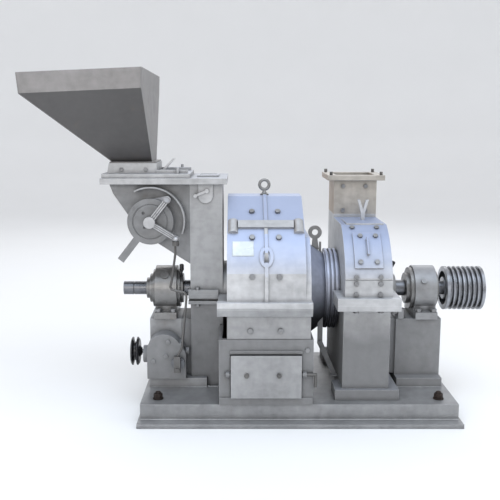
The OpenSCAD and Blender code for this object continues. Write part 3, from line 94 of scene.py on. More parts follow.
class PulverizerSizes(bpy.types.PropertyGroup):
    edge_round: FloatProperty(name="Edge rounding", description="Radius of the painted edges",
                              default=0.0025, min=0.0005, max=0.006, unit="LENGTH")
    bolt_chamfer: FloatProperty(name="Bolt chamfer", description="Share of a bolt head's width left flat on top",
                                default=0.93, min=0.8, max=1.0, subtype="FACTOR")
    thread_pitch: FloatProperty(name="Thread pitch", description="Pitch of the visible threads",
                                default=0.002, min=0.001, max=0.004, unit="LENGTH")
    weld_width: FloatProperty(name="Weld width", description="Width of the weld beads",
                              default=0.007, min=0.003, max=0.012, unit="LENGTH")
    rivets: IntProperty(name="Nameplate rivets", description="Rivets along each long side of the blank nameplate",
                        default=2, min=2, max=4)
    light: FloatProperty(name="Softbox power", description="Power of the large softbox above the machine",
                         default=95.0, min=10.0, max=400.0, unit="POWER")


# Mesh helpers

def mesh_piece(name, verts, faces, material, body, smooth):
    """A new mesh object in the frame of the part, that rides on a body; smooth is in degrees."""
    mesh = bpy.data.meshes.new(name)
    mesh.from_pydata([tuple(v) for v in verts], [], faces)
    mesh.validate()
    bm = bmesh.new()
    bm.from_mesh(mesh)
    bmesh.ops.recalc_face_normals(bm, faces=bm.faces)
    bm.to_mesh(mesh)
    bm.free()
    mesh.polygons.foreach_set("use_smooth", [True] * len(mesh.polygons))
    mesh.set_sharp_from_angle(angle=math.radians(smooth))
    mesh.materials.append(material)
    piece = bpy.data.objects.new(name, mesh)
    bpy.context.scene.collection.objects.link(piece)
    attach(piece, body)
    return piece


class Shape:
    """Vertices and faces gathered from several solids."""

    def __init__(self):
        self.verts = []
        self.faces = []

    def add(self, verts, faces, place=None):
        base = len(self.verts)
        self.verts += [place @ Vector(v) if place else Vector(v) for v in verts]
        self.faces += [[base + i for i in face] for face in faces]

    def rings(self, rings, place=None, closed=False, caps=True):
        """Joins rings of equal count with quads, and closes the two ends with caps."""
        count = len(rings[0])
        verts = [v for ring in rings for v in ring]
        faces = []
        last = len(rings) if closed else len(rings) - 1
        for i in range(last):
            j = (i + 1) % len(rings)
            for k in range(count):
                n = (k + 1) % count
                faces.append([i * count + k, i * count + n, j * count + n, j * count + k])
        if caps and not closed:
            faces.append(list(range(count))[::-1])
            faces.append([last * count + k for k in range(count)])
        self.add(verts, faces, place)

    def lathe(self, profile, place, sides=40):
        """Turns a profile of (radius, height) round the local Z axis."""
        rings = []
        for r, h in profile:
            r = max(r, SAME_POINT)
            rings.append([(r * math.cos(math.tau * k / sides), r * math.sin(math.tau * k / sides), h)
                          for k in range(sides)])
        self.rings(rings, place)

    def hex(self, across, height, place, flat):
        """A chamfered hexagon with a shallow dished top; flat is the share of its width inside the chamfer."""
        steps = 36
        chamfer = math.tan(math.radians(32))
        dish, dish_edge, dish_floor = 0.0006, 0.84, 0.3
        half = across / 2
        top = flat * half
        sides = []
        for k in range(steps):
            a = math.tau * k / steps
            off = (a % (math.pi / 3)) - math.pi / 6
            sides.append((a, half / math.cos(off)))

        def ring(radius_of, height_of):
            return [(radius_of(r) * math.cos(a), radius_of(r) * math.sin(a), height_of(r)) for a, r in sides]

        self.rings([ring(lambda r: top, lambda r: 0),
                    ring(lambda r: r, lambda r: (r - top) * chamfer),
                    ring(lambda r: r, lambda r: height - (r - top) * chamfer),
                    ring(lambda r: top, lambda r: height),
                    ring(lambda r: top * dish_edge, lambda r: height - dish),
                    ring(lambda r: top * dish_floor, lambda r: height - dish * 1.2)], place)

    def tube(self, points, radius, sides=16, closed=False):
        """A round bar along a path, with flat ends where it is open; radius is one number or one per point."""
        points = [Vector(p) for p in points]
        n = len(points)
        rings = []
        side = None
        for i, p in enumerate(points):
            before = points[(i - 1) % n] if closed or i else p
            after = points[(i + 1) % n] if closed or i < n - 1 else p
            along = (after - before).normalized()
            if side is None:
                side = along.orthogonal().normalized()
            side = (side - along * side.dot(along)).normalized()
            other = along.cross(side)
            r = radius[i] if isinstance(radius, (list, tuple)) else radius
            rings.append([p + (side * math.cos(math.tau * k / sides) + other * math.sin(math.tau * k / sides)) * r
                          for k in range(sides)])
        self.rings(rings, closed=closed)

    def piece(self, name, material, body, slot, smooth):
        return mesh_piece(name, self.verts, self.faces, material, body, smooth)


def stand(origin, axis):
    """A matrix that stands local Z along an axis at a point."""
    return Matrix.Translation(Vector(origin)) @ Vector(axis).to_track_quat("Z", "Y").to_matrix().to_4x4()


def span(points):
    """The lowest and highest corner of a set of points."""
    return (Vector([min(p[i] for p in points) for i in range(3)]),
            Vector([max(p[i] for p in points) for i in range(3)]))


def islands(node_name):
    """The loose solids of a CAD node, each as a list of (area, normal) of its faces and one of its corners."""
    bm = bmesh.new()
    bm.from_mesh(NODES[node_name].data)
    bmesh.ops.remove_doubles(bm, verts=bm.verts, dist=SAME_POINT)
    seen = set()
    found = []
    for start in bm.verts:
        if start.index in seen:
            continue
        stack, corners = [start], []
        seen.add(start.index)
        while stack:
            corner = stack.pop()
            corners.append(corner)
            for edge in corner.link_edges:
                other = edge.other_vert(corner)
                if other.index not in seen:
                    seen.add(other.index)
                    stack.append(other)
        faces = dict.fromkeys(face for corner in corners for face in corner.link_faces)
        found.append(([(face.calc_area(), face.normal.copy()) for face in faces],
                      [corner.co.copy() for corner in corners]))
    bm.free()
    return found


def hex_place(faces, points):
    """Reads the place of a bolt head from its faces: (matrix, width across flats, height)."""
    parallel, square = 0.999, 0.02
    planes = []
    for area, normal in faces:
        for plane in planes:
            if plane[1].dot(normal) > parallel:
                plane[0] += area
                break
        else:
            planes.append([area, normal])
    planes.sort(key=lambda plane: -plane[0])
    axis = planes[0][1]
    flat = next(plane[1] for plane in planes if abs(plane[1].dot(axis)) < square)
    third = axis.cross(flat)
    along, wide, cross = ([p.dot(way) for p in points] for way in (axis, flat, third))
    turn = Matrix((flat, third, axis)).transposed().to_4x4()
    turn.translation = (axis * min(along) + flat * (max(wide) + min(wide)) / 2
                        + third * (max(cross) + min(cross)) / 2)
    return turn @ Matrix.Rotation(math.pi / 6, 4, "Z"), max(wide) - min(wide), max(along) - min(along)


# Shader nodes, and the groups of them that finishes share

def group(name, inputs, outputs):
    """A new node group: inputs are {name: default number}, outputs are {name: Float or Vector}."""
    tree = bpy.data.node_groups.new(name, "ShaderNodeTree")
    for label, default in inputs.items():
        socket = tree.interface.new_socket(name=label, in_out="INPUT", socket_type="NodeSocketFloat")
        socket.default_value = default
    for label, kind in outputs.items():
        tree.interface.new_socket(name=label, in_out="OUTPUT", socket_type="NodeSocket" + kind)
    return tree, tree.nodes.new("NodeGroupInput"), tree.nodes.new("NodeGroupOutput")


def node(tree, kind, inputs=None, **settings):
    """A new node: inputs are {socket: number or another node's socket}, settings are its own options."""
    made = tree.nodes.new(kind)
    for key, value in settings.items():
        setattr(made, key, value)
    for key, value in (inputs or {}).items():
        if isinstance(value, bpy.types.NodeSocket):
            tree.links.new(value, made.inputs[key])
        else:
            made.inputs[key].default_value = value
    return made


def noise(tree, vector, scale, detail=3.0, rough=0.55):
    """Noise with about scale lumps to a unit of its coordinates, finer with more detail."""
    return node(tree, "ShaderNodeTexNoise",
                {"Vector": vector, "Scale": scale, "Detail": detail, "Roughness": rough}).outputs["Fac"]


def maths(tree, operation, a, b, clamp=False):
    return node(tree, "ShaderNodeMath", {0: a, 1: b}, operation=operation, use_clamp=clamp).outputs[0]


def remap(tree, value, low, high, to_low, to_high):
    """A value stretched from one range to another and held inside it."""
    return node(tree, "ShaderNodeMapRange",
                {"Value": value, "From Min": low, "From Max": high, "To Min": to_low, "To Max": to_high},
                clamp=True).outputs["Result"]


def mapped(tree, where, scale, turn=(0, 0, 0)):
    """Coordinates stretched and turned, for noise that runs one way."""
    return node(tree, "ShaderNodeMapping", {"Vector": where, "Rotation": turn, "Scale": scale}).outputs[0]


def weighted(tree, *terms):
    """The sum of some values, each times its weight."""
    total = None
    for value, weight in terms:
        part = maths(tree, "MULTIPLY", value, weight)
        total = part if total is None else maths(tree, "ADD", total, part)
    return total


def brushed_coat():
    """Paint laid on by brush over rough castings: tone, height and gloss."""
    tree, given, out = group("brushed_coat", {"Grain": 1.0, "Streaks": 1.0},
                             {"Tone": "Float", "Height": "Float", "Gloss": "Float"})
    where = node(tree, "ShaderNodeTexCoord").outputs["Object"]
    runs = noise(tree, mapped(tree, where, (30, 30, 9), (0.10, 0.16, 0.2)), 1.0, 5.0)
    strokes = noise(tree, mapped(tree, where, (9, 32, 32), (0.12, -0.22, 0.1)), 1.4, 5.0)
    clouds = noise(tree, where, 5.0, 4.0, 0.6)
    pits = noise(tree, where, 170.0, 3.0, 0.6)
    lumps = noise(tree, where, 34.0)
    brush = maths(tree, "MULTIPLY", maths(tree, "ADD", runs, strokes), given.outputs["Streaks"])
    grain = maths(tree, "MULTIPLY", pits, given.outputs["Grain"])
    tree.links.new(weighted(tree, (brush, 0.28), (clouds, 0.75), (lumps, 0.45)), out.inputs["Tone"])
    tree.links.new(weighted(tree, (brush, 0.35), (lumps, 0.6), (grain, 0.35)), out.inputs["Height"])
    tree.links.new(weighted(tree, (clouds, 0.6), (strokes, 0.4)), out.inputs["Gloss"])
    return tree


def rounded_edges():
    """Soft edges: a rounded normal, and a mask of the ridges, where the colour is lightened as wear and as painted
    highlight.
    """
    tree, given, out = group("rounded_edges", {"Radius": 0.002}, {"Normal": "Vector", "Mask": "Float"})
    soft = node(tree, "ShaderNodeBevel", {"Radius": given.outputs["Radius"]}, samples=6).outputs[0]
    flat = node(tree, "ShaderNodeNewGeometry").outputs["Normal"]
    likeness = node(tree, "ShaderNodeVectorMath", {0: soft, 1: flat}, operation="DOT_PRODUCT").outputs["Value"]
    tree.links.new(soft, out.inputs["Normal"])
    tree.links.new(remap(tree, likeness, 0.98, 0.80, 0.0, 1.0), out.inputs["Mask"])
    return tree


def dust_and_stain():
    """Dust in patches and runs of rust, with masks of painted light and shade: painted shade of low parts and of
    faces that point to the ground, a brown tint on left faces that is rust and painted reflection, and a painted
    blue sky sheen on upward faces.

    The mask of low parts fades out over a ragged band above Level. The sheen grows stronger up to the top of the
    casings.
    """
    fade = 0.16
    casing_foot, casing_top, least_sky = 0.55, 0.74, 0.12
    tree, given, out = group("dust_and_stain", {"Amount": 1.0, "Level": 0.4},
                             dict.fromkeys(("Dust", "Stain", "Low", "Under", "Sky", "Side"), "Float"))
    where = node(tree, "ShaderNodeTexCoord").outputs["Object"]
    amount = given.outputs["Amount"]

    height = node(tree, "ShaderNodeSeparateXYZ", {0: where}).outputs["Z"]
    ragged = maths(tree, "ADD", height, maths(tree, "MULTIPLY", noise(tree, where, 7.0, 4.0), 0.10))
    above = maths(tree, "SUBTRACT", ragged, given.outputs["Level"])
    # mask of the painted shade of low parts, darker towards the bottom
    tree.links.new(remap(tree, above, 0.0, fade, 1.0, 0.0), out.inputs["Low"])

    facing = node(tree, "ShaderNodeSeparateXYZ", {0: node(tree, "ShaderNodeNewGeometry").outputs["Normal"]})
    # mask of the painted shade on faces that point down
    tree.links.new(remap(tree, facing.outputs["Z"], -0.15, -0.55, 0.0, 1.0), out.inputs["Under"])
    # mask of left faces, tinted brown as rust and as painted reflection
    tree.links.new(remap(tree, facing.outputs["X"], -0.3, -0.8, 0.0, 1.0), out.inputs["Side"])
    # mask of the painted sky sheen: upward faces, stronger higher up
    upward = remap(tree, facing.outputs["Z"], 0.10, 0.50, 0.0, 1.0)
    lifted = remap(tree, ragged, casing_foot, casing_top, least_sky, 1.0)
    tree.links.new(maths(tree, "MULTIPLY", upward, lifted), out.inputs["Sky"])

    runs = remap(tree, noise(tree, mapped(tree, where, (26, 26, 3.5)), 1.0, 5.0, 0.62), 0.56, 0.72, 0.0, 1.0)
    patch = remap(tree, noise(tree, where, 9.0, 5.0, 0.65), 0.52, 0.75, 0.0, 1.0)
    stain = maths(tree, "MULTIPLY", runs, patch)
    tree.links.new(maths(tree, "MULTIPLY", stain, amount), out.inputs["Stain"])
    tree.links.new(maths(tree, "MULTIPLY", patch, amount), out.inputs["Dust"])
    return tree


def turning_marks():
    """Fine tool marks round a shaft that lies along X, on bare turned steel."""
    tree, given, out = group("turning_marks", {"Fineness": 1.0}, {"Height": "Float", "Tone": "Float"})
    where = node(tree, "ShaderNodeTexCoord").outputs["Object"]
    marks = node(tree, "ShaderNodeTexNoise", {"Vector": mapped(tree, where, (900, 14, 14)),
                                              "Scale": given.outputs["Fineness"], "Detail": 2.0})
    tree.links.new(marks.outputs["Fac"], out.inputs["Height"])
    tree.links.new(noise(tree, where, 25.0, 4.0), out.inputs["Tone"])
    return tree


def use(material_tree, tree, inputs):
    """Places a shared effect in a material, with the material's own values."""
    made = material_tree.nodes.new("ShaderNodeGroup")
    made.node_tree = tree
    for key, value in inputs.items():
        made.inputs[key].default_value = value
    return made.outputs


def mix(tree, factor, a, b):
    """Colour a, turned to colour b where the factor is 1."""
    made = tree.nodes.new("ShaderNodeMix")
    made.data_type = "RGBA"
    for index, value in ((0, factor), (6, a), (7, b)):
        if isinstance(value, bpy.types.NodeSocket):
            tree.links.new(value, made.inputs[index])
        else:
            made.inputs[index].default_value = (*value, 1)
    return made.outputs[2]


def layer(tree, paint, mask, strength, coat):
    """One more colour laid over the paint where a mask says."""
    return mix(tree, maths(tree, "MULTIPLY", mask, strength), paint, coat)


def crease_shade(tree, reach, closed, free, strength):
    """A mask of narrow corners, where light hardly gets in, for painted shade there."""
    hidden = node(tree, "ShaderNodeAmbientOcclusion", {"Distance": reach}, samples=5).outputs["AO"]
    return remap(tree, hidden, closed, free, strength, 0.0)


def bump(tree, height, normal, strength, distance):
    """A normal that stands for relief of this distance in metres."""
    return node(tree, "ShaderNodeBump", {"Height": height, "Normal": normal, "Strength": strength,
                                         "Distance": distance}).outputs[0]


def shade(base, factor):
    """A colour made lighter or darker."""
    return tuple(min(1.0, c * factor) for c in base)


def surface(name, base, metallic):
    """A new material with a plain Principled BSDF: (material, node tree, shader)."""
    material = bpy.data.materials.new(name)
    material.use_nodes = True
    material.diffuse_color = (*base, 1)
    shader = material.node_tree.nodes["Principled BSDF"]
    shader.inputs["Metallic"].default_value = metallic
    return material, material.node_tree, shader


# Paint and turned steel: dark and bright patches, painted shade of downward faces and creases, bright worn and
# highlighted steel edges, as shares of the base
PAINT_DARK, PAINT_BRIGHT, PAINTED_UNDER_SHADE, PAINTED_CREASE_SHADE = 0.70, 1.20, 0.35, 0.12
STEEL_DARK, STEEL_BRIGHT, STEEL_EDGE_HIGHLIGHT = 0.72, 1.1, 1.35
# Relief in metres, and rounding of turned edges
BRUSH_RELIEF, TURNING_RELIEF, TURNED_EDGE = 0.0016, 0.0004, 0.0012
# Colours that every finish takes: rust runs and grease, a left-face brown of rust and painted reflection, a painted
# sky sheen, painted shade in creases
SIDE_RUST_AND_SHEEN = (0.34, 0.24, 0.17)
RUST_RUN = (0.20, 0.15, 0.11)
SKY_SHEEN_TINT = (0.61, 0.71, 0.98)
GREASE = (0.05, 0.042, 0.035)
CREASE_SHADE_AND_OIL = (0.03, 0.028, 0.026)


def finish(name, base, metallic, gloss, grain=1.0, streaks=1.0, stain=0.5, relief=0.5, edge=1.6, seam=0.65,
           radius=None, low=0.0, under=0.0, sky=0.0, side=0.0, level=0.4, low_shade=0.35):
    """A painted or bare finish from the shared effects.

    gloss is (smoothest, roughest). edge and low_shade are shades as shares of the base: edges lightened as wear and
    as painted highlight, low parts darkened as painted shade. seam, low, under, sky and side say how far painted
    shade in corners, painted shade of low parts, painted shade of downward faces, a painted sky sheen on upward
    faces and a left-face brown of rust and painted reflection are laid on, and level is the height in metres where
    low parts end.
    """
    material, tree, shader = surface(name, base, metallic)
    coat = use(tree, GROUPS["brushed_coat"], {"Grain": grain, "Streaks": streaks})
    edges = use(tree, GROUPS["rounded_edges"],
                {"Radius": radius or bpy.context.scene.pulverizer_sizes.edge_round})
    dirt_and_light = use(tree, GROUPS["dust_and_stain"], {"Amount": stain, "Level": level})

    tone = remap(tree, coat["Tone"], 0.62, 1.14, 0.0, 1.0)
    paint = mix(tree, tone, shade(base, PAINT_DARK), shade(base, PAINT_BRIGHT))
    # painted shade: low parts darkened towards the bottom, below the level
    paint = layer(tree, paint, dirt_and_light["Low"], low, shade(base, low_shade))
    # left-facing faces turned brown: rust, and painted reflection of brown light from the left
    paint = layer(tree, paint, dirt_and_light["Side"], side, SIDE_RUST_AND_SHEEN)
    # painted shade on faces that point down, towards the ground
    paint = layer(tree, paint, dirt_and_light["Under"], under, shade(base, PAINTED_UNDER_SHADE))
    # painted sky sheen: upward faces tinted blue, as the sky reflected in them
    paint = layer(tree, paint, dirt_and_light["Sky"], sky, tuple(c * tint for c, tint in zip(base, SKY_SHEEN_TINT)))
    # worn edges lightened; the lightening is also a painted highlight along them
    paint = layer(tree, paint, edges["Mask"], 0.5, shade(base, edge))
    paint = layer(tree, paint, dirt_and_light["Stain"], 0.55, RUST_RUN)
    # painted shade: narrow corners and creases darkened where occlusion is found
    paint = mix(tree, crease_shade(tree, 0.02, 0.25, 0.90, seam), paint, shade(base, PAINTED_CREASE_SHADE))
    tree.links.new(paint, shader.inputs["Base Color"])

    rough = remap(tree, coat["Gloss"], 0.3, 0.7, *gloss)
    grime = weighted(tree, (dirt_and_light["Dust"], 0.15), (dirt_and_light["Low"], low * 0.4))
    tree.links.new(maths(tree, "ADD", rough, grime, True), shader.inputs["Roughness"])
    tree.links.new(bump(tree, coat["Height"], edges["Normal"], relief, BRUSH_RELIEF), shader.inputs["Normal"])
    return material


def turned_finish(name, base, gloss):
    """Bare turned steel with tool marks, greasy patches, soft edges lightened as painted highlight, and painted
    shade in corners.
    """
    material, tree, shader = surface(name, base, 0.9)
    marks = use(tree, GROUPS["turning_marks"], {"Fineness": 1.0})
    edges = use(tree, GROUPS["rounded_edges"], {"Radius": TURNED_EDGE})
    dirt_and_light = use(tree, GROUPS["dust_and_stain"], {"Amount": 0.6})

    tone = remap(tree, marks["Tone"], 0.35, 0.65, 0.0, 1.0)
    skin = mix(tree, tone, shade(base, STEEL_DARK), shade(base, STEEL_BRIGHT))
    # steel edges lightened: painted highlight and wear
    skin = layer(tree, skin, edges["Mask"], 0.6, shade(base, STEEL_EDGE_HIGHLIGHT))
    skin = layer(tree, skin, dirt_and_light["Dust"], 0.8, GREASE)
    # painted shade: corners and creases turned near-black, as with oil
    skin = mix(tree, crease_shade(tree, 0.015, 0.2, 0.8, 0.85), skin, CREASE_SHADE_AND_OIL)
    tree.links.new(skin, shader.inputs["Base Color"])
    tree.links.new(remap(tree, marks["Tone"], 0.3, 0.7, *gloss), shader.inputs["Roughness"])
    tree.links.new(bump(tree, marks["Height"], edges["Normal"], 0.25, TURNING_RELIEF), shader.inputs["Normal"])
    return material


GROUPS = {}
FINISHES = {}

# Painted and bare finishes: name, base (a colour of the panel or a fixed one), its shade, metallic, gloss,
# and the values in which it differs from a plain coat. A shade other than 1 on the silver paint is painted light
# and
# shade: one paint made lighter on parts that look lit and darker on parts that look shaded.
COATS = (
    ("silver_coat", "silver", 1.0, 0.5, (0.30, 0.50), dict(low=0.60, sky=0.3)),
    ("bed_paint", "silver", 0.70, 0.5, (0.30, 0.50), dict(stain=0.8, sky=0.4)),
    ("cover_paint", "silver", 1.27, 0.40, (0.38, 0.54), dict(stain=0.3, low=0.4, sky=0.9, level=0.30)),
    ("band_paint", "silver", 1.0, 0.45, (0.34, 0.5), dict(grain=1.2, stain=0.7, low=0.1, side=0.3)),
    ("fan_paint", "silver", 1.16, 0.40, (0.42, 0.58), dict(stain=0.3, low=0.80, sky=0.95, level=0.35)),
    ("casing_paint", "silver", 0.95, 0.5, (0.30, 0.48), dict(low=0.26, sky=0.5)),
    # the hopper's down-facing front takes strong painted shade
    ("hopper_paint", "hopper", 1.0, 0.40, (0.34, 0.5), dict(stain=0.7, relief=0.35, under=0.80)),
    ("column_paint", "silver", 0.74, 0.50, (0.34, 0.5), dict(streaks=1.4, stain=0.6, relief=0.35, low=0.5)),
    ("feeder_paint", "silver", 0.52, 0.45, (0.36, 0.55), dict(stain=0.6, relief=0.35)),
    ("duct_paint", (0.45, 0.415, 0.37), 1.0, 0.45, (0.34, 0.52), dict(stain=1.1, side=0.55)),
    # the cone's bottom is painted near-black: painted shade of its shadowed underside
    ("cone_paint", "cone", 1.0, 0.5, (0.30, 0.46), dict(stain=0.4, low=1.0, level=0.41, low_shade=0.04, sky=0.6)),
    ("oily_casting", (0.25, 0.245, 0.24), 1.0, 0.6, (0.2, 0.42), dict(grain=1.6, stain=1.2, relief=0.8)),
    ("raw_casting", (0.20, 0.19, 0.18), 1.0, 0.7, (0.4, 0.6),
     dict(grain=2.0, streaks=0.3, stain=0.9, relief=0.9)),
    ("black_enamel", (0.018, 0.018, 0.02), 1.0, 0.0, (0.14, 0.34), dict(grain=1.2, stain=0.3, edge=3.0)),
    ("bright_lever", (0.50, 0.50, 0.51), 1.0, 0.8, (0.22, 0.42), dict(grain=0.6, radius=0.0015)),
    ("oily_steel", "bolt", 1.0, 0.75, (0.22, 0.45), dict(grain=0.8, stain=0.8, edge=2.2, radius=0.0012)),
    ("painted_bolt", "silver", 0.62, 0.55, (0.28, 0.48), dict(stain=0.6, seam=0.9, edge=1.9, radius=0.0012)),
    ("rusty_nut", "rust", 1.0, 0.25, (0.5, 0.8),
     dict(grain=2.0, stain=1.0, relief=0.9, edge=1.8, radius=0.0012)),
    ("blank_plate", (0.70, 0.74, 0.73), 1.0, 0.35, (0.25, 0.4),
     dict(grain=0.2, streaks=0.4, stain=0.3, relief=0.12, radius=0.0008)),
    ("weld_bead", "silver", 0.9, 0.55, (0.34, 0.55), dict(grain=1.4, stain=0.8)),
)
# Turned steel: name, shade of the panel's steel, gloss
TURNED = (("turned_shaft", 0.46, (0.20, 0.42)), ("pulley_steel", 0.90, (0.22, 0.45)))
# What each finish covers; the other nodes have silver_coat
COVERS = {
    "hopper_paint": ("hopper",),
    "column_paint": ("column_upper", "column_lower", "feed_guard", "discharge_frame"),
    "feeder_paint": ("feeder_body", "feed_shroud"),
    "duct_paint": ("outlet_duct",),
    "cone_paint": ("classifier_cone", "classifier_neck"),
    "cover_paint": ("upper_casing",),
    "fan_paint": ("fan_upper_housing", "fan_lower_housing", "fan_inspection_cover"),
    "casing_paint": ("lower_casing", "flap_door", "left_pedestal"),
    "bed_paint": ("bed_frame", "right_bearing_housing"),
    "blank_plate": ("nameplate",),
    "oily_casting": ("left_bearing_housing", "bearing_glands", "lifting_eyebolt"),
    "raw_casting": ("grinding_rotor", "swing_hammers", "fan_wheel", "classifier_wheel", "lower_liner",
                    "upper_liner", "feed_roll", "ratchet_wheel"),
    "black_enamel": ("grease_cups", "gearbox_pulley"),
    "turned_shaft": ("main_shaft", "worm_shaft", "crank_shaft", "feed_shaft", "bearing_inner_rings",
                     "bearing_outer_rings"),
    "pulley_steel": ("belt_pulley", "feed_pawl"),
    "bright_lever": ("rocker_arm", "sight_latch", "slide_gate"),
    "oily_steel": ("connecting_rod", "flap_rod", "cover_hinge_pins", "outlet_studs"),
    "painted_bolt": ("casing_bolts", "liner_bolts"),
    "rusty_nut": ("foundation_bolts",),
}
NODE_FINISH = {name: coat for coat, names in COVERS.items() for name in names}


class PULVERIZER_OT_finishes(bpy.types.Operator):
    """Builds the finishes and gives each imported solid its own"""
    bl_idname = "pulverizer.finishes"
    bl_label = "Finishes"

    def execute(self, context):
        colours = context.scene.pulverizer_colours
        for build in (brushed_coat, rounded_edges, dust_and_stain, turning_marks):
            GROUPS[build.__name__] = build()
        for name, base, factor, metallic, gloss, own in COATS:
            base = getattr(colours, base) if isinstance(base, str) else base
            FINISHES[name] = finish(name, shade(base, factor), metallic, gloss, **own)
        for name, factor, gloss in TURNED:
            FINISHES[name] = turned_finish(name, shade(colours.steel, factor), gloss)
        for name, solid in NODES.items():
            material = FINISHES[NODE_FINISH.get(name, "silver_coat")]
            if not solid.material_slots:
                solid.data.materials.append(material)
            for slot in solid.material_slots:
                slot.material = material
        paint_band(NODES["upper_casing"], FINISHES["band_paint"])
        paint_lug(NODES["classifier_cone"], FINISHES["oily_casting"])
        return {"FINISHED"}


def paint_band(cover, material):
    """Gives the cast band, its bosses and the middle rib, all proud of the cover, their greyer coat, without the
    painted sky sheen of the rest of the cover.
    """
    index = len(cover.data.materials)
    cover.data.materials.append(material)
    for face in cover.data.polygons:
        spot = cover.matrix_world @ face.center
        rise = spot.z - SHAFT_Z
        outward = math.cos(BAND_LEAN) * spot.y - math.sin(BAND_LEAN) * rise
        along = math.cos(BAND_LEAN) * rise + math.sin(BAND_LEAN) * spot.y
        if outward < -COVER_RADIUS - BAND_PROUD and BAND_LOW < along < BAND_HIGH:
            face.material_index = index


def paint_lug(cone, material):
    """Gives the lifting lug and the pin on top of the cone the colour of the lifting eye."""
    index = len(cone.data.materials)
    cone.data.materials.append(material)
    for face in cone.data.polygons:
        ends = [cone.matrix_world @ cone.data.vertices[i].co for i in face.vertices]
        if all(abs(end.y) < LUG_HALF_WIDTH and end.z > SHAFT_Z + LUG_ABOVE_SHAFT for end in ends):
            face.material_index = index


def dress_heads(name, node_name, finish_name):
    """Draws each loose solid of a bolt node in full, as a hexagon with chamfers and a dished top."""
    shape = Shape()
    for faces, points in islands(node_name):
        place, across, height = hex_place(faces, points)
        shape.hex(across, height, place, bpy.context.scene.pulverizer_sizes.bolt_chamfer)
    if not shape.verts:
        raise RuntimeError("no bolts found in " + node_name)
    piece = shape.piece(name, FINISHES[finish_name], BODY_OF[node_name], SLOTS[node_name], smooth=30)
    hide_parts(node_name)


def dress_anchors():
    """Draws the four foundation bolts: washer, nut and threaded end above the bed, plain shank below."""
    sizes = bpy.context.scene.pulverizer_sizes
    washer_height, nut_height, thread_height = 0.004, 0.018, 0.007
    rim, root, crest, runout, tip = 0.0006, 0.0012, 0.0001, 0.0016, 0.0024
    points = [v.co for v in NODES["foundation_bolts"].data.vertices]
    shape = Shape()
    for sx in (-1, 1):
        for sy in (-1, 1):
            lo, hi = span([p for p in points if p.x * sx > 0 and p.y * sy > 0])
            washer = (hi.x - lo.x) / 2
            bolt = washer / 2
            bore = bolt * 0.9
            seat = hi.z - washer_height - nut_height - thread_height
            foot = Vector(((lo.x + hi.x) / 2, (lo.y + hi.y) / 2, seat))
            shape.lathe([(bore, 0), (washer - rim, 0), (washer, rim), (washer, washer_height - rim),
                         (washer - rim, washer_height), (bore, washer_height)], Matrix.Translation(foot), 48)
            foot.z += washer_height
            shape.hex(3 * bolt, nut_height, Matrix.Translation(foot), sizes.bolt_chamfer)
            h = foot.z + nut_height
            profile = [(bolt, lo.z), (bolt, h - 0.002)]
            while h < hi.z - runout:
                profile += [(bolt - root, h), (bolt - crest, h + sizes.thread_pitch / 2)]
                h += sizes.thread_pitch
            profile += [(bolt - 0.0014, hi.z - 0.0004), (bolt - tip, hi.z)]
            shape.lathe(profile, Matrix.Translation((foot.x, foot.y, 0)), 40)
    piece = shape.piece("foundation_nuts", FINISHES["rusty_nut"], BODY_OF["foundation_bolts"],
                        SLOTS["foundation_bolts"], smooth=30)
    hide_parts("foundation_bolts")


class PULVERIZER_OT_bolts(bpy.types.Operator):
    """Bolt heads, nuts and stud ends with chamfers, and the foundation bolts with washers and threads"""
    bl_idname = "pulverizer.bolts"
    bl_label = "Bolts and studs"

    def execute(self, context):
        dress_heads("casing_bolt_heads", "casing_bolts", "painted_bolt")
        dress_heads("liner_bolt_heads", "liner_bolts", "painted_bolt")
        dress_heads("outlet_stud_ends", "outlet_studs", "oily_steel")
        dress_anchors()
        return {"FINISHED"}


class PULVERIZER_OT_eyebolt(bpy.types.Operator):
    """The forged lifting eye on top of the cover"""
    bl_idname = "pulverizer.eyebolt"
    bl_label = "Lifting eyebolt"

    def execute(self, context):
        lo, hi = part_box("lifting_eyebolt")
        centre = (lo + hi) / 2
        outer = (hi.x - lo.x) / 2
        wire, thicker_foot, steps = 0.006, 0.10, 48
        eye_z = hi.z - outer
        path, radii = [], []
        for k in range(steps):
            a = math.tau * k / steps
            path.append((centre.x + (outer - wire) * math.cos(a), centre.y, eye_z + (outer - wire) * math.sin(a)))
            radii.append(wire * (1 + thicker_foot * max(0.0, -math.sin(a)) ** 4))
        shape = Shape()
        shape.tube(path, radii, 20, closed=True)
        collar, axle = 0.017, 0.001
        neck = eye_z - outer + 0.004 - lo.z
        shape.lathe([(axle, 0), (collar - 0.001, 0), (collar, 0.001), (collar, 0.0042), (collar - 0.002, 0.006),
                     (0.011, 0.0075), (0.0075, 0.012), (0.0068, neck), (axle, neck + 0.002)],
                    Matrix.Translation((centre.x, centre.y, lo.z)), 40)
        piece = shape.piece("lifting_eye", FINISHES["oily_casting"], BODY_OF["lifting_eyebolt"],
                            SLOTS["lifting_eyebolt"], smooth=40)
        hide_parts("lifting_eyebolt")
        return {"FINISHED"}


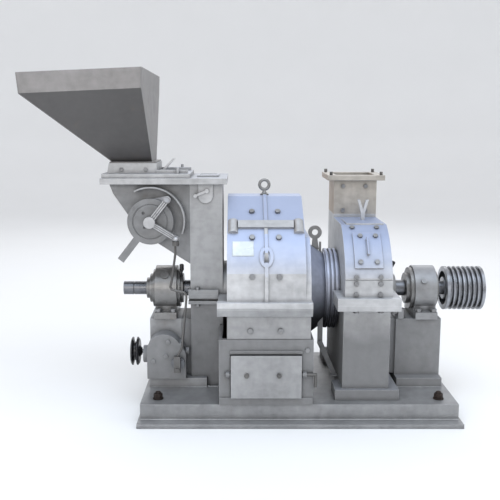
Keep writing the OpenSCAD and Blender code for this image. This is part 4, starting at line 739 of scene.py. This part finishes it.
class PULVERIZER_OT_nameplate(bpy.types.Operator):
    """The blank nameplate, bent to the cover's shoulder, with its rivets and raised border"""
    bl_idname = "pulverizer.nameplate"
    bl_label = "Blank nameplate"

    def execute(self, context):
        rivets = context.scene.pulverizer_sizes.rivets
        lo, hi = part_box("nameplate")
        width = hi.x - lo.x
        tall = 0.06
        across, up = 26, 18
        wide = across + 1
        thick, raised, back = 0.0012, 0.0006, 0.0002
        border_from, border_to = 0.002, 0.005

        def angle_at(z):
            return math.atan2(z - SHAFT_Z, math.sqrt(COVER_RADIUS ** 2 - (z - SHAFT_Z) ** 2))

        def at(x, angle, lift):
            r = COVER_RADIUS + lift
            return (x, -r * math.cos(angle), SHAFT_Z + r * math.sin(angle))

        low, high = angle_at(lo.z), angle_at(hi.z - 0.001)
        grid = []
        for j in range(wide * (up + 1)):
            u, v = j % wide / across, j // wide / up
            edge = min(u * width, (1 - u) * width, v * tall, (1 - v) * tall)
            lift = thick + (raised if border_from < edge < border_to else 0.0)
            grid.append((lo.x + u * width, low + v * (high - low), lift))
        faces = []
        for j in range(up):
            for i in range(across):
                k = j * wide + i
                faces.append([k, k + 1, k + wide + 1, k + wide])
        rim = (list(range(wide)) + [j * wide + across for j in range(1, up + 1)]
               + [up * wide + i for i in range(across - 1, -1, -1)] + [j * wide for j in range(up - 1, 0, -1)])
        base = len(grid)
        for n in range(len(rim)):
            m = (n + 1) % len(rim)
            faces.append([rim[n], rim[m], base + m, base + n])
        faces.append([base + n for n in range(len(rim))][::-1])
        shape = Shape()
        shape.add([at(*p) for p in grid] + [at(grid[k][0], grid[k][1], back) for k in rim], faces)
        for i in range(rivets):
            u = 0.07 + 0.86 * i / (rivets - 1)
            for v in (0.1, 0.9):
                angle = low + v * (high - low)
                shape.lathe([(0.0021, 0), (0.0021, 0.0004), (0.0016, 0.0009), (0.0008, 0.0012), (0.0002, 0.0013)],
                            stand(at(lo.x + u * width, angle, 0.0007), (0, -math.cos(angle), math.sin(angle))), 16)
        piece = shape.piece("blank_nameplate", FINISHES["blank_plate"], BODY_OF["nameplate"], SLOTS["nameplate"],
                            smooth=50)
        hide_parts("nameplate")
        return {"FINISHED"}


class PULVERIZER_OT_grease_cups(bpy.types.Operator):
    """Screw-down grease cups with ribbed caps"""
    bl_idname = "pulverizer.grease_cups"
    bl_label = "Grease cups"

    def execute(self, context):
        cap_height, ribs = 0.026, 28
        tooth, groove = 0.0002, -0.0003
        shape = Shape()
        for faces, points in islands("grease_cups"):
            axis = max(faces, key=lambda face: face[0] if face[1].z > 0.5 else 0)[1]
            top = max(p.dot(axis) for p in points)
            height = top - min(p.dot(axis) for p in points)
            cap = [p for p in points if p.dot(axis) > top - 0.002]
            m = stand(sum(cap, Vector()) / len(cap) - axis * height, axis)
            base = height - cap_height
            shape.lathe([(0.002, 0.004), (0.0038, 0.004), (0.0038, base - 0.006), (0.006, base - 0.005),
                         (0.006, base + 0.001), (0.002, base + 0.001)], m, 20)
            rings = []
            for h, r in ((base, 0.0078), (base + 0.001, 0.0088), (height - 0.004, 0.0088),
                         (height - 0.0015, 0.0078), (height, 0.0055)):
                ring = []
                for k in range(ribs * 2):
                    a = math.pi * k / ribs
                    grip = tooth if k % 2 and 0.0008 < h - base < cap_height - 0.002 else groove
                    ring.append(((r + grip) * math.cos(a), (r + grip) * math.sin(a), h))
                rings.append(ring)
            shape.rings(rings, m)
        piece = shape.piece("ribbed_grease_cups", FINISHES["black_enamel"], BODY_OF["grease_cups"],
                            SLOTS["grease_cups"], smooth=30)
        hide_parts("grease_cups")
        return {"FINISHED"}


def bead(shape, path, width, seed, closed=False):
    """A weld bead along a path: a lumpy ribbon of short overlapping ripples."""
    ripple, thin, swell, wander, end = 0.0035, 0.86, 0.20, 0.06, 0.8
    rng = random.Random(seed)
    points, radii = [], []
    path = [Vector(p) for p in path]
    if closed:
        path.append(path[0])
    for a, b in zip(path, path[1:]):
        steps = max(2, int((b - a).length / ripple))
        for k in range(steps):
            points.append(a.lerp(b, k / steps))
            radii.append(width / 2 * (thin + swell * (len(points) % 2) + rng.uniform(-wander, wander)))
    shape.tube(points + [path[-1]], radii + [width / 2 * end], 8)


class PULVERIZER_OT_welds(bpy.types.Operator):
    """Weld beads of the bed, the column, the duct and the pedestals"""
    bl_idname = "pulverizer.welds"
    bl_label = "Weld beads"

    def execute(self, context):
        width = context.scene.pulverizer_sizes.weld_width
        finer = width * 0.7
        toe, toe_thick, inset = 0.050, 0.016, 0.008
        flange, flange_thick = 0.029, 0.0215
        shape = Shape()
        lo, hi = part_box("bed_frame")
        x0, x1 = lo.x + inset, hi.x - inset
        y0, y1 = lo.y + toe, hi.y - toe
        bead(shape, [(x, y, toe_thick) for x, y in ((x0, y0), (x1, y0), (x1, y1), (x0, y1))], width, 1, closed=True)
        for node_name, seed in (("column_lower", 2), ("left_pedestal", 3), ("right_pedestal", 4)):
            a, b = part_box(node_name)
            bead(shape, [(a.x, a.y, a.z), (b.x, a.y, a.z)], finer, seed)
        a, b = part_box("outlet_duct")
        x0, x1 = a.x + flange, b.x - flange
        y0, y1 = a.y + flange, b.y - flange
        z = b.z - flange_thick
        bead(shape, [(x0, y0, z), (x1, y0, z), (x1, y1, z), (x0, y1, z)], finer, 5, closed=True)
        shape.piece("weld_beads", FINISHES["weld_bead"], "frame", "silver_paint", smooth=60)
        return {"FINISHED"}


class PULVERIZER_OT_hopper(bpy.types.Operator):
    """Corner seams of the sheet hopper"""
    bl_idname = "pulverizer.hopper"
    bl_label = "Hopper seams"

    def execute(self, context):
        seam_width, first_seed = 0.0045, 20
        shape = Shape()
        for k, line in enumerate(hopper_corners()):
            bead(shape, line, seam_width, first_seed + k)
        shape.piece("hopper_seams", FINISHES["hopper_paint"], "frame", "silver_paint", smooth=60)
        return {"FINISHED"}


def hopper_corners():
    """The four outer corner lines of the hopper, from its mesh: throat, knee and a little below the rim."""
    sink_x, sink_y, below_rim, at_wall = 0.0018, 0.0012, 0.06, 0.002
    bm = bmesh.new()
    bm.from_mesh(NODES["hopper"].data)
    bmesh.ops.remove_doubles(bm, verts=bm.verts, dist=SAME_POINT)
    lo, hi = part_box("hopper")
    middle = (lo + hi) / 2
    reach = hi.y - middle.y - at_wall
    lines = []
    for sx in (-1, 1):
        for sy in (-1, 1):
            side = [v for v in bm.verts
                    if (v.co.y - middle.y) * sy > reach and (v.co.x - middle.x) * sx > 0]
            lowest = min(side, key=lambda v: v.co.z)
            knee = lowest.co.copy()
            rim = max(side, key=lambda v: v.co.z).co.lerp(knee, below_rim)
            ends = [edge.other_vert(lowest).co.copy() for edge in lowest.link_edges]
            throat = min((p for p in ends if p.z < knee.z - 0.1), key=lambda p: (p - knee).length)
            inward = Vector((-sx * sink_x, -sy * sink_y, 0))
            lines.append([p + inward for p in (throat, knee, rim)])
    bm.free()
    return lines


class PULVERIZER_OT_studio(bpy.types.Operator):
    """Pale floor, soft lights and the camera at the photograph's angle"""
    bl_idname = "pulverizer.studio"
    bl_label = "Studio"

    def execute(self, context):
        scene = context.scene
        self.stand_camera(scene)
        self.lay_floor(scene)
        self.hang_lights(scene)
        scene.view_settings.view_transform = "Standard"
        scene.view_settings.exposure = 0.0
        return {"FINISHED"}

    def stand_camera(self, scene):
        """The camera fitted to the photograph: 760 pixels of focal length over 500, looking 9.5 degrees down."""
        sensor = 36
        camera = bpy.data.objects.new("camera", bpy.data.cameras.new("camera"))
        camera.data.sensor_width = sensor
        camera.data.lens = sensor * 760 / 500
        camera.data.shift_x = 0.018
        camera.data.dof.use_dof = False
        camera.data.clip_end = 60
        camera.location = (-0.2186, -3.0376, 1.1142)
        camera.rotation_euler = (math.radians(90 - 9.5), 0, 0)
        scene.collection.objects.link(camera)
        scene.camera = camera

    def lay_floor(self, scene):
        """A pale round floor whose far edge curves up into a wall."""
        below, steps = 0.0005, 96
        curve = ((0.2, 0), (4, 0), (7, 0), (8, 0.08), (9, 0.4), (9.7, 1.0), (10, 2.0), (10, 5.5))
        shell = Shape()
        shell.rings([[(r * math.cos(math.tau * k / steps), r * math.sin(math.tau * k / steps), z - below)
                      for k in range(steps)] for r, z in curve], caps=False)
        shell.faces.append(list(range(steps)))
        mesh = bpy.data.meshes.new("floor")
        mesh.from_pydata(shell.verts, [], shell.faces)
        mesh.polygons.foreach_set("use_smooth", [True] * len(mesh.polygons))
        floor = bpy.data.objects.new("studio_floor", mesh)
        scene.collection.objects.link(floor)
        tint = scene.pulverizer_colours.floor
        material, tree, shader = surface("pale_floor", tint, 0.0)
        where = node(tree, "ShaderNodeTexCoord").outputs["Object"]
        tree.links.new(mix(tree, noise(tree, where, 1.5), shade(tint, 0.98), shade(tint, 1.02)),
                       shader.inputs["Base Color"])
        shader.inputs["Roughness"].default_value = 0.75
        mesh.materials.append(material)

    def hang_lights(self, scene):
        """One large softbox above, three weaker ones round the machine, and an even white sky."""
        power = scene.pulverizer_sizes.light
        for name, spot, target, size, share, tint in (
                ("sky_box", (-0.4, -1.6, 4.2), (0, 0, 0.5), (5.0, 3.2), 1.1, (0.72, 0.85, 1.0)),
                ("front_fill", (-1.6, -4.6, 2.0), (0, 0, 0.5), (3.2, 2.2), 0.5, (1.0, 0.98, 0.95)),
                ("right_edge", (4.2, -1.2, 2.0), (0.2, 0, 0.6), (1.6, 2.6), 0.45, (0.95, 0.98, 1.0)),
                ("rear_lift", (0.0, 4.0, 3.2), (0, 0, 0.6), (4.5, 2.0), 0.45, (1.0, 1.0, 1.0))):
            light = bpy.data.lights.new(name, "AREA")
            light.shape = "RECTANGLE"
            light.size, light.size_y = size
            light.energy = power * share
            light.color = tint
            lamp = bpy.data.objects.new(name, light)
            lamp.location = spot
            lamp.rotation_euler = (Vector(target) - Vector(spot)).to_track_quat("-Z", "Y").to_euler()
            scene.collection.objects.link(lamp)
        world = bpy.data.worlds.new("studio_world")
        scene.world = world
        world.use_nodes = True
        background = world.node_tree.nodes["Background"]
        background.inputs["Color"].default_value = (0.96, 0.97, 1.0, 1)
        background.inputs["Strength"].default_value = 0.85


STEPS = (PULVERIZER_OT_finishes, PULVERIZER_OT_bolts, PULVERIZER_OT_eyebolt, PULVERIZER_OT_nameplate,
         PULVERIZER_OT_grease_cups, PULVERIZER_OT_welds, PULVERIZER_OT_hopper, PULVERIZER_OT_studio)


class PULVERIZER_PT_panel(bpy.types.Panel):
    """Sidebar panel that lists the settings and the steps"""
    bl_idname = "PULVERIZER_PT_panel"
    bl_label = "Pulverizer"
    bl_space_type = "VIEW_3D"
    bl_region_type = "UI"
    bl_category = "Pulverizer"

    def draw(self, context):
        for settings in (context.scene.pulverizer_colours, context.scene.pulverizer_sizes):
            box = self.layout.box()
            for prop in settings.bl_rna.properties:
                if prop.identifier not in ("rna_type", "name"):
                    box.prop(settings, prop.identifier)
        for step in STEPS:
            self.layout.operator(step.bl_idname)


CLASSES = (PulverizerColours, PulverizerSizes) + STEPS + (PULVERIZER_PT_panel,)


def register():
    for cls in CLASSES:
        bpy.utils.register_class(cls)
    bpy.types.Scene.pulverizer_colours = PointerProperty(type=PulverizerColours)
    bpy.types.Scene.pulverizer_sizes = PointerProperty(type=PulverizerSizes)


def unregister():
    del bpy.types.Scene.pulverizer_colours
    del bpy.types.Scene.pulverizer_sizes
    for cls in reversed(CLASSES):
        bpy.utils.unregister_class(cls)


def main():
    register()
    bpy.ops.pulverizer.finishes()
    bpy.ops.pulverizer.bolts()
    bpy.ops.pulverizer.eyebolt()
    bpy.ops.pulverizer.nameplate()
    bpy.ops.pulverizer.grease_cups()
    bpy.ops.pulverizer.welds()
    bpy.ops.pulverizer.hopper()
    bpy.ops.pulverizer.studio()
    bpy.context.view_layer.update()


if __name__ == "__main__":
    main()
